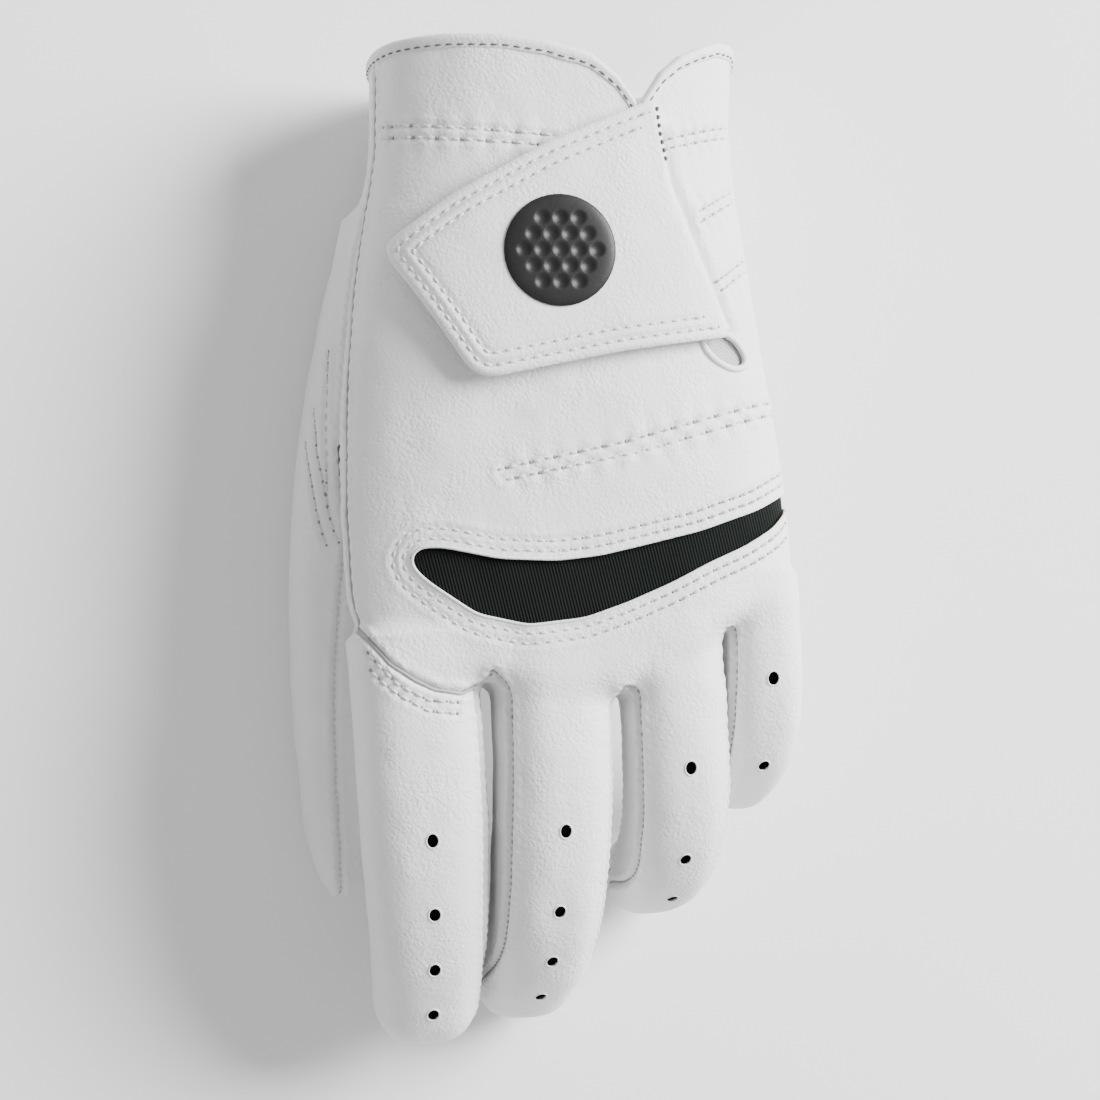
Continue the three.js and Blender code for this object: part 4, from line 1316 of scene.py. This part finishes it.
def edge_paths(surface, keep):
    """Points and normals of the stretches of a surface's edge where keep, a function of place, is above 0."""
    rows, tris = surface
    after = dict(rim(tris).tolist())
    wanted = keep(rows[:, :3]) > 0
    kept = {a: b for a, b in after.items() if wanted[a] and wanted[b]}
    paths = []
    for start in sorted(set(kept) - set(kept.values())):
        chain = [start]
        while chain[-1] in kept:
            chain.append(kept[chain[-1]])
        path = smoothed(rows[chain], 4)
        if np.linalg.norm(np.diff(path[:, :3], axis=0), axis=1).sum() > 5:
            paths.append((path[:, :3], unit(path[:, 3:])))
    return paths


SEAM_STITCH = dict(pitch=1.5, share=0.62, width=0.42, lift=0.2, holes=False)


def sew_seam(name, sources, follow, material=SEAM_THREAD_AND_SHADOW):
    """Small stitches along the edges of panels. sources are panel names and functions of place, as keep."""
    paths = [path for panel, keep in sources for path in edge_paths(panels[panel], keep)]
    sewn(name, on_skin(paths), follow, material, **SEAM_STITCH)


def clear_of(*values):
    """Above 0 where every function of place is well away from 0."""
    return lambda p: np.minimum.reduce([np.abs(value(p)) for value in values]) - 0.3


def on_little_seam(p):
    """Above 0 near the side seam on the little-finger side."""
    return 0.3 - np.abs((hand_elevation(p)[0] - SEAM_LITTLE) * 0.5)


for name in LONG:
    strips = [panel for panel in panels if panel.startswith(name + "_fourchette")]
    sources = [(panel, clear_of(in_stall(name))) for panel in strips]
    sew_seam(name + "_seam_stitches", sources, with_finger(name))
webs = [(f"fourchette_{a}_{b}", clear_of(in_stall(a), in_stall(b))) for a, b in zip(LONG, LONG[1:])]
sew_seam("web_seam_stitches", webs, with_body("root"))
sew_seam("side_seam_stitches", [("back_leather", on_little_seam), ("thumb_gusset", clear_of(past_gusset))],
         with_body("root"))
sew_seam("thumb_seam_stitches", [("thumb_back", clear_of(past_gusset))], with_finger("thumb"), THREAD)


def bead(name, loops, radius, material, follow, closed=True, sides=8):
    """Round beads along paths of points and normals, as one piece."""
    turn = np.radians(np.arange(sides) * 360 / sides)[:, None]
    points, faces, start = [], [], 0
    for path, normals in loops:
        count = len(path)
        around = np.roll(path, -1, axis=0) - np.roll(path, 1, axis=0)
        way = unit(around if closed else np.gradient(path, axis=0))
        across = unit(np.cross(normals, way))
        round_it = np.cos(turn) * across[:, None] + np.sin(turn) * normals[:, None]
        points.append((path[:, None] + radius * round_it).reshape(-1, 3))
        a, b = ring_grid(count if closed else count - 1, sides)
        quads = np.stack([a, b, b + sides, a + sides], axis=2) % (count * sides)
        faces.append(quads.reshape(-1, 4) + start)
        if not closed:
            cap = np.arange(sides)[None] + start
            faces += [cap[:, ::-1], cap + (count - 1) * sides]
        start += count * sides
    follow(mesh_object(name, np.concatenate(points), faces, material))


def loop_on_skin(plan):
    """A plan path laid on the skin."""
    path, normals = dropped(glove_field, plan)
    return path + normals * skin_offset(path)[:, None], normals


ROUND = np.radians(np.arange(0, 360, 10))  # angles of a drawn circle
EYE_MIDDLE = np.mean(EYE, axis=0)
eye_way = np.subtract(EYE[1], EYE[0]) / np.linalg.norm(np.subtract(EYE[1], EYE[0]))
eye_side = np.array([-eye_way[1], eye_way[0]])
EYE_LONG, EYE_WIDE = EYE_RADIUS + 2.9, EYE_RADIUS + 0.5  # half sizes of the binding round the eye
eye_ring = np.outer(np.cos(ROUND), eye_way * EYE_LONG) + np.outer(np.sin(ROUND), eye_side * EYE_WIDE)
eye_plan = EYE_MIDDLE + eye_ring
bead("eye_binding", [loop_on_skin(eye_plan)], 0.7, TAPE_LEATHER, with_body("root", "leather_binding"))
bead("insert_edge_bead", [loop_on_skin(insert_row(0))], 0.3, TAPE_LEATHER, with_body("root"), closed=False)


SIDE_SHADOW_LIFT = 0.55


def on_thumb_side_seam(p):
    """Above 0 near the seam from the cuff to the index finger."""
    return np.minimum.reduce([-17 - p[:, 0], cuff_height(p) - 5, np.abs(insert_distance(p)) - 0.3])


# A grey cord along the seam from the cuff to the index finger: painted shadow line of the seam.
side_line = edge_paths(panels["back_leather"], on_thumb_side_seam)
side_line = [(path + normals * SIDE_SHADOW_LIFT, normals) for path, normals in on_skin(side_line)]
bead("side_seam_shadow_cord", side_line, 0.34, SEAM_THREAD_AND_SHADOW, with_body("root"), closed=False)


# ---- the cuff's tape, the elastic and the size tag: strips round the wrist ----
def wrist_points(angle, y, inset):
    """Points of the hand's skin at angles round the wrist, an inset in."""
    cx, cz, a, b = smooth(HAND, y)
    c, s = np.cos(np.radians(angle)), np.sin(np.radians(angle))
    x = cx + (a - inset) * power(c, 2 / OVAL)
    z = cz + (b - inset) * power(s, 2 / OVAL)
    return np.column_stack([x, y, np.maximum(z, floor_height(y) + np.maximum(inset, 0) + 0.02)])


def swept(name, rows, material):
    """A solid from one row of points for each corner of a closed profile."""
    points = np.stack(rows, axis=1)
    count, sides = points.shape[:2]
    a, b = ring_grid(count - 1, sides)
    quads = np.stack([a, b, b + sides, a + sides], axis=2).reshape(-1, 4)
    cap = np.arange(sides)[None]
    faces = [quads, cap[:, ::-1], cap + (count - 1) * sides]
    return mesh_object(name, points.reshape(-1, 3), faces, material)


def ring_piece(name, angles, profile, edge, material):
    """A closed profile of (down from the edge, inset) carried round the wrist between two angles."""
    rows = [wrist_points(angles, edge(angles) - down, np.full(len(angles), inset)) for down, inset in profile]
    return swept(name, rows, material)


def cuff_edge(angle):
    return linear(CUFF, angle % 360)


def level(y):
    return lambda angle: np.full(len(angle), float(y))


TAPE_PROFILE = [(3.1, 0.1), (2.95, -0.34), (2.5, -0.28), (2.1, -0.42), (1.4, -0.66), (0.7, -0.62),
                (0.15, -0.3), (0, 0.3), (0.1, 0.9), (0.6, 1.25), (1.5, 1.3), (2.9, 1.2), (3.1, 1.0)]
TAPE_SEAM = 2.35  # how far below the cuff's edge the tape is stitched
cuff_angles = np.linspace(NOTCH + 1.2, 360 + NOTCH - 1.2, 720)
cuff_tape = ring_piece("cuff_tape", cuff_angles, TAPE_PROFILE, cuff_edge, TAPE_LEATHER)
place(cuff_tape, "root", "leather_binding", ["cuff_binding"])
cuff_path = wrist_points(cuff_angles, cuff_edge(cuff_angles) - TAPE_SEAM, np.full(len(cuff_angles), -0.3))
sewn("cuff_tape_stitches", [(cuff_path, gradient(hand_field, cuff_path)[0])],
     with_body("root", "leather_binding"), DARK_THREAD, pitch=2.2, share=0.72, width=0.36, holes=False)

# The elastic and the tag are inside the wrist, from one angle round it to another.
ELASTIC_PROFILE = [(0, 1.25), (7, 1.25), (7, 1.85), (0, 1.85)]
elastic = ring_piece("wrist_elastic_band", np.linspace(86, 320, 300), ELASTIC_PROFILE, level(86.5), ELASTIC)
place(elastic, "root", "elastic_tape", ["wrist_elastic"])
TAG_PROFILE = [(0, 1.3), (12, 1.3), (12, 1.7), (0, 1.7)]
size_tag = ring_piece("size_tag_label", np.linspace(258, 282, 30), TAG_PROFILE, level(76), LINING)
place(size_tag, "root", "hook_and_loop", ["size_tag"])


# ---- the tab, its lining and patches, and the disc: sheets laid over the hand ----
def flat(plan):
    return np.column_stack([plan[:, :2], np.zeros(len(plan))])


def plan_slopes(value, plan, h):
    """How steeply a function of plan place rises along X and along Y."""
    return np.column_stack([(value(flat(plan) + e) - value(flat(plan) - e)) / (2 * h)
                            for e in ((h, 0, 0), (0, h, 0))])


def hand_top(plan):
    cx, cz, a, b = smooth(HAND, plan[:, 1])
    return cz + b * np.maximum(1 - np.abs((plan[:, 0] - cx) / a) ** OVAL, 0.02) ** (1 / OVAL)


def draped(name, outline, under, top, material, step=0.8):
    """A closed sheet between two heights over the hand, under and top, both functions of plan place."""
    outline = np.array(outline, float)
    low, high = outline.min(0) - step, outline.max(0) + step
    xs, ys = np.arange(low[0], high[0], step), np.arange(low[1], high[1], step)
    grid = np.stack(np.meshgrid(xs, ys, indexing="ij"), axis=2).reshape(-1, 2)
    i, j = np.meshgrid(np.arange(len(xs) - 1), np.arange(len(ys) - 1), indexing="ij")
    a = (i * len(ys) + j).ravel()
    b = a + len(ys)
    tris = np.concatenate([np.stack([a, b, b + 1], axis=1), np.stack([a, b + 1, a + 1], axis=1)])
    plan, tris = cut((flat(grid), tris), outline_distance(outline))
    upper, lower = (np.column_stack([plan[:, :2], height(plan)]) for height in (top, under))
    return mesh_object(name, np.concatenate([upper, lower]), two_sided(tris, len(plan)), material)


def rounded(points, radius):
    """An outline with its corners rounded."""
    points = np.array(points, float)
    out = []
    for before, corner, after in zip(np.roll(points, 1, 0), points, np.roll(points, -1, 0)):
        ends = []
        for side in (before - corner, after - corner):
            length = np.linalg.norm(side)
            ends.append(corner + side / length * min(radius, length * 0.45))
        for t in np.linspace(0, 1, 5):
            out.append((1 - t) ** 2 * ends[0] + 2 * t * (1 - t) * corner + t**2 * ends[1])
    return np.array(out)


TAB_OUTLINE = rounded(TAB, 2.4)
TAB_TOP = TAB_LIFT + TAB_THICK
TAB_ROWS = (2.1, 4.4)  # how far in from the edge its two rows of stitches are
tab_distance = outline_distance(TAB_OUTLINE)
HINGE_LINE = TAB[:1] + TAB[:-4:-1]  # the edge that is sewn to the back
from_hinge = line_distance(HINGE_LINE)


def tab_height(plan):
    """Top of the tab's leather: rounded at the edge, sunk along its stitches and soft between them."""
    edge = tab_distance(plan)
    high = hand_top(plan) + TAB_TOP + 0.30 * noise(flat(plan), 19, 7) + 0.12 * noise(flat(plan), 6, 8)
    high -= 0.55 * np.clip(1 - edge / 1.1, 0, 1) ** 2
    free = ease((from_hinge(plan) - edge - 0.3) / 2)
    for inset in TAB_ROWS:
        high -= 0.34 * free * np.exp(-((edge - inset) / 0.55) ** 2)
    return high + 0.20 * free * np.exp(-((edge - sum(TAB_ROWS) / 2) / 0.7) ** 2)


def above_hand(lift, uneven=0.0, seed=0):
    """A height over the hand, as a function of plan place."""
    return lambda plan: hand_top(plan) + lift + uneven * noise(flat(plan), 2, seed)


def shrunk(outline, centre, share):
    return [(centre[0] + (x - centre[0]) * share, centre[1] + (y - centre[1]) * share) for x, y in outline]


PATCH_CENTRE, LINING_CENTRE = (-14, 54), (-2, 56)
LOOP_OUTLINE = [(-12, 70), (-30.5, 58.5), (-31, 54.5), (-16.5, 34), (8, 38), (8, 68)]
tab_sheet = draped("tab_sheet", TAB_OUTLINE, above_hand(TAB_LIFT + 0.15), tab_height, LEATHER, 0.5)
place(tab_sheet, "tab", "leather", ["tab_leather"])
tab_lining = draped("tab_lining_sheet", rounded(shrunk(TAB, LINING_CENTRE, 0.9), 3), above_hand(2.4),
                    above_hand(2.85, 0.08, 3), LINING)
place(tab_lining, "tab", "lining_fabric", ["tab_lining"])
hook_patch = draped("hook_patch_pad", rounded(shrunk(TAB, PATCH_CENTRE, 0.54), 3), above_hand(1.4),
                    above_hand(2.2, 0.08, 4), HOOKS)
place(hook_patch, "tab", "hook_and_loop", ["hook_patch"])
loop_patch = draped("loop_patch_pad", rounded(LOOP_OUTLINE, 3), above_hand(0.35),
                    above_hand(1.15, 0.08, 5), PILE)
place(loop_patch, "root", "hook_and_loop", ["loop_patch"])

# Profile of the leather fold that joins the tab's sewn edge to the back: out from that edge, and height above
# the hand.
FOLD_PROFILE = [(0.5, -0.7), (0.45, 0.6), (0.35, 1.6), (0.3, 2.6), (0.2, 3.3), (-0.35, 3.6), (-0.8, 3.3),
                (-0.6, 2.6), (-0.5, 1.6), (-0.45, 0.6), (-0.5, -0.7)]


def tab_fold():
    """The fold, as one piece with its transform baked: its foot lies on the hand and its top reaches up
    towards the tab.
    """
    line = smoothed(resampled(HINGE_LINE, 0.8), 4)[2:-1]
    way = unit(np.gradient(line, axis=0))
    outward = np.stack([-way[:, 1], way[:, 0]], axis=1)
    rows = []
    for across, height in FOLD_PROFILE:
        plan = line + outward * across
        rows.append(np.column_stack([plan, hand_top(plan) + height]))
    piece = swept("tab_fold_leather", rows, LEATHER)
    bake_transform(piece)


tab_fold()

# The disc is a plain golf-ball pattern: dimples in a honeycomb.
DIMPLE_PITCH, DIMPLE_RADIUS, DIMPLE_DEPTH = 3.6, 1.5, 0.5
DISC = np.array(DISC_CENTRE) + DISC_RADIUS * np.column_stack([np.cos(ROUND), np.sin(ROUND)])
HONEYCOMB = [((column + row / 2) * DIMPLE_PITCH, row * DIMPLE_PITCH * math.sqrt(3) / 2)
             for row in range(-3, 4) for column in range(-3, 4)]
DIMPLES = [centre for centre in HONEYCOMB if math.hypot(*centre) < DISC_RADIUS - DIMPLE_RADIUS - 0.6]


def disc_top(plan):
    """Top of the disc: domed, with dimples."""
    rel = plan[:, :2] - DISC_CENTRE
    radius = np.linalg.norm(rel, axis=1)
    high = hand_top(plan) + TAB_TOP + 0.25 + 0.75 * np.sqrt(np.clip(1 - (radius / DISC_RADIUS) ** 6, 0, 1))
    near = np.min([np.linalg.norm(rel - centre, axis=1) for centre in DIMPLES], axis=0)
    return high - DIMPLE_DEPTH * np.clip(1 - (near / DIMPLE_RADIUS) ** 2, 0, 1)


place(draped("dimpled_disc", DISC, above_hand(TAB_TOP - 0.5), disc_top, RUBBER, 0.3), "tab", "moulded_rubber",
      ["emblem"])


def tab_row(inset):
    """A path an inset in from the tab's three free sides, laid on the tab, with normals."""
    path = resampled(TAB[:1] + TAB[2:-2:2], 0.5)
    for _ in range(12):
        path = path + plan_slopes(tab_distance, path, 0.05) * (inset - tab_distance(path))[:, None] * 0.8
    return on_tab(path[from_hinge(path) > 1.4])


def on_tab(plan):
    normal = np.column_stack([-plan_slopes(tab_height, plan, 0.4), np.ones(len(plan))])
    return np.column_stack([plan, tab_height(plan)]), unit(normal)


sewn("tab_stitches", [tab_row(inset) for inset in TAB_ROWS], with_body("tab"))
BAR = [(18.1, 85.0), (18.9, 79), (20.2, 73.4)]
sewn("tab_bar_stitches", [on_tab(resampled(BAR, 0.4))], with_body("tab"), DARK_THREAD, pitch=1.5, width=0.62,
     lift=0.2, holes=False)


# ---- perforations: a turned rim, and a near-black disc behind each as painted shadow ----
def hole_loop(centre, normal, across):
    """A perforation's edge on the skin, with normals."""
    along = np.cross(normal, across) * HOLE_LONG
    ring = np.outer(np.cos(ROUND), across) + np.outer(np.sin(ROUND), along)
    path, out = settle(glove_field, centre + HOLE * ring)
    return path + out * skin_offset(path)[:, None], out


for name in LONG:
    centres, normals = hole_places(name)
    centres, normals = settle(glove_field, centres)
    across = finger_axes(FINGERS[name])[2]
    loops = [hole_loop(centre, normal, across) for centre, normal in zip(centres, normals)]
    bead(name + "_hole_rims", loops, 0.17, LEATHER, with_finger(name))
    # A near-black disc under each hole: painted shadow, so that the hole reads dark inside.
    under = centres + normals * (skin_offset(centres) - WALL - 0.25)[:, None]
    points, _, tris = copies(dot(HOLE * 1.8, sides=16), under, np.tile(across, (len(centres), 1)), normals)
    bend_with(mesh_object(name + "_hole_shadow_disc", points, [tris], PAINTED_HOLE_SHADOW), name)

# ---- floor, light and camera ----
TARGET = Vector((0.0004, -0.0015, 0.028))
LEAN = math.radians(10)  # the camera leans this much towards the thumb
DISTANCE = 0.82
towards = Vector((-math.sin(LEAN), 0, math.cos(LEAN)))
right = Vector((0, 1, 0)).cross(towards).normalized()
camera_data = bpy.data.cameras.new("camera")
camera_data.lens, camera_data.sensor_width = 135, 36
camera = bpy.data.objects.new("camera", camera_data)
bpy.context.scene.collection.objects.link(camera)
turned = Matrix((right, towards.cross(right), towards)).transposed().to_4x4()
camera.matrix_world = Matrix.Translation(TARGET + towards * DISTANCE) @ turned
bpy.context.scene.camera = camera

bpy.ops.mesh.primitive_plane_add(size=6, location=(0, 0, -0.0001))
floor = bpy.context.object
floor.name = "floor"
floor_finish = Finish("pale_floor", grey(0.90), 0.9)
floor_finish.tint(floor_finish.noise(40.0), grey(0.89), grey(0.91))
floor.data.materials.append(floor_finish.material)


def area_light(name, place_at, size, energy):
    data = bpy.data.lights.new(name, "AREA")
    data.shape, data.size, data.energy = "DISK", size, energy
    made = bpy.data.objects.new(name, data)
    bpy.context.scene.collection.objects.link(made)
    made.location = place_at
    made.rotation_euler = (-Vector(place_at)).to_track_quat("-Z", "Y").to_euler()


area_light("key_light", (1.2, 0.6, 0.8), 1.0, 98)
area_light("fill_light", (-0.7, -0.9, 1.2), 1.2, 3)
world = bpy.data.worlds.new("studio")
world.use_nodes = True
world.node_tree.nodes["Background"].inputs[0].default_value = (1, 1, 1, 1)
world.node_tree.nodes["Background"].inputs[1].default_value = 0.6
bpy.context.scene.world = world
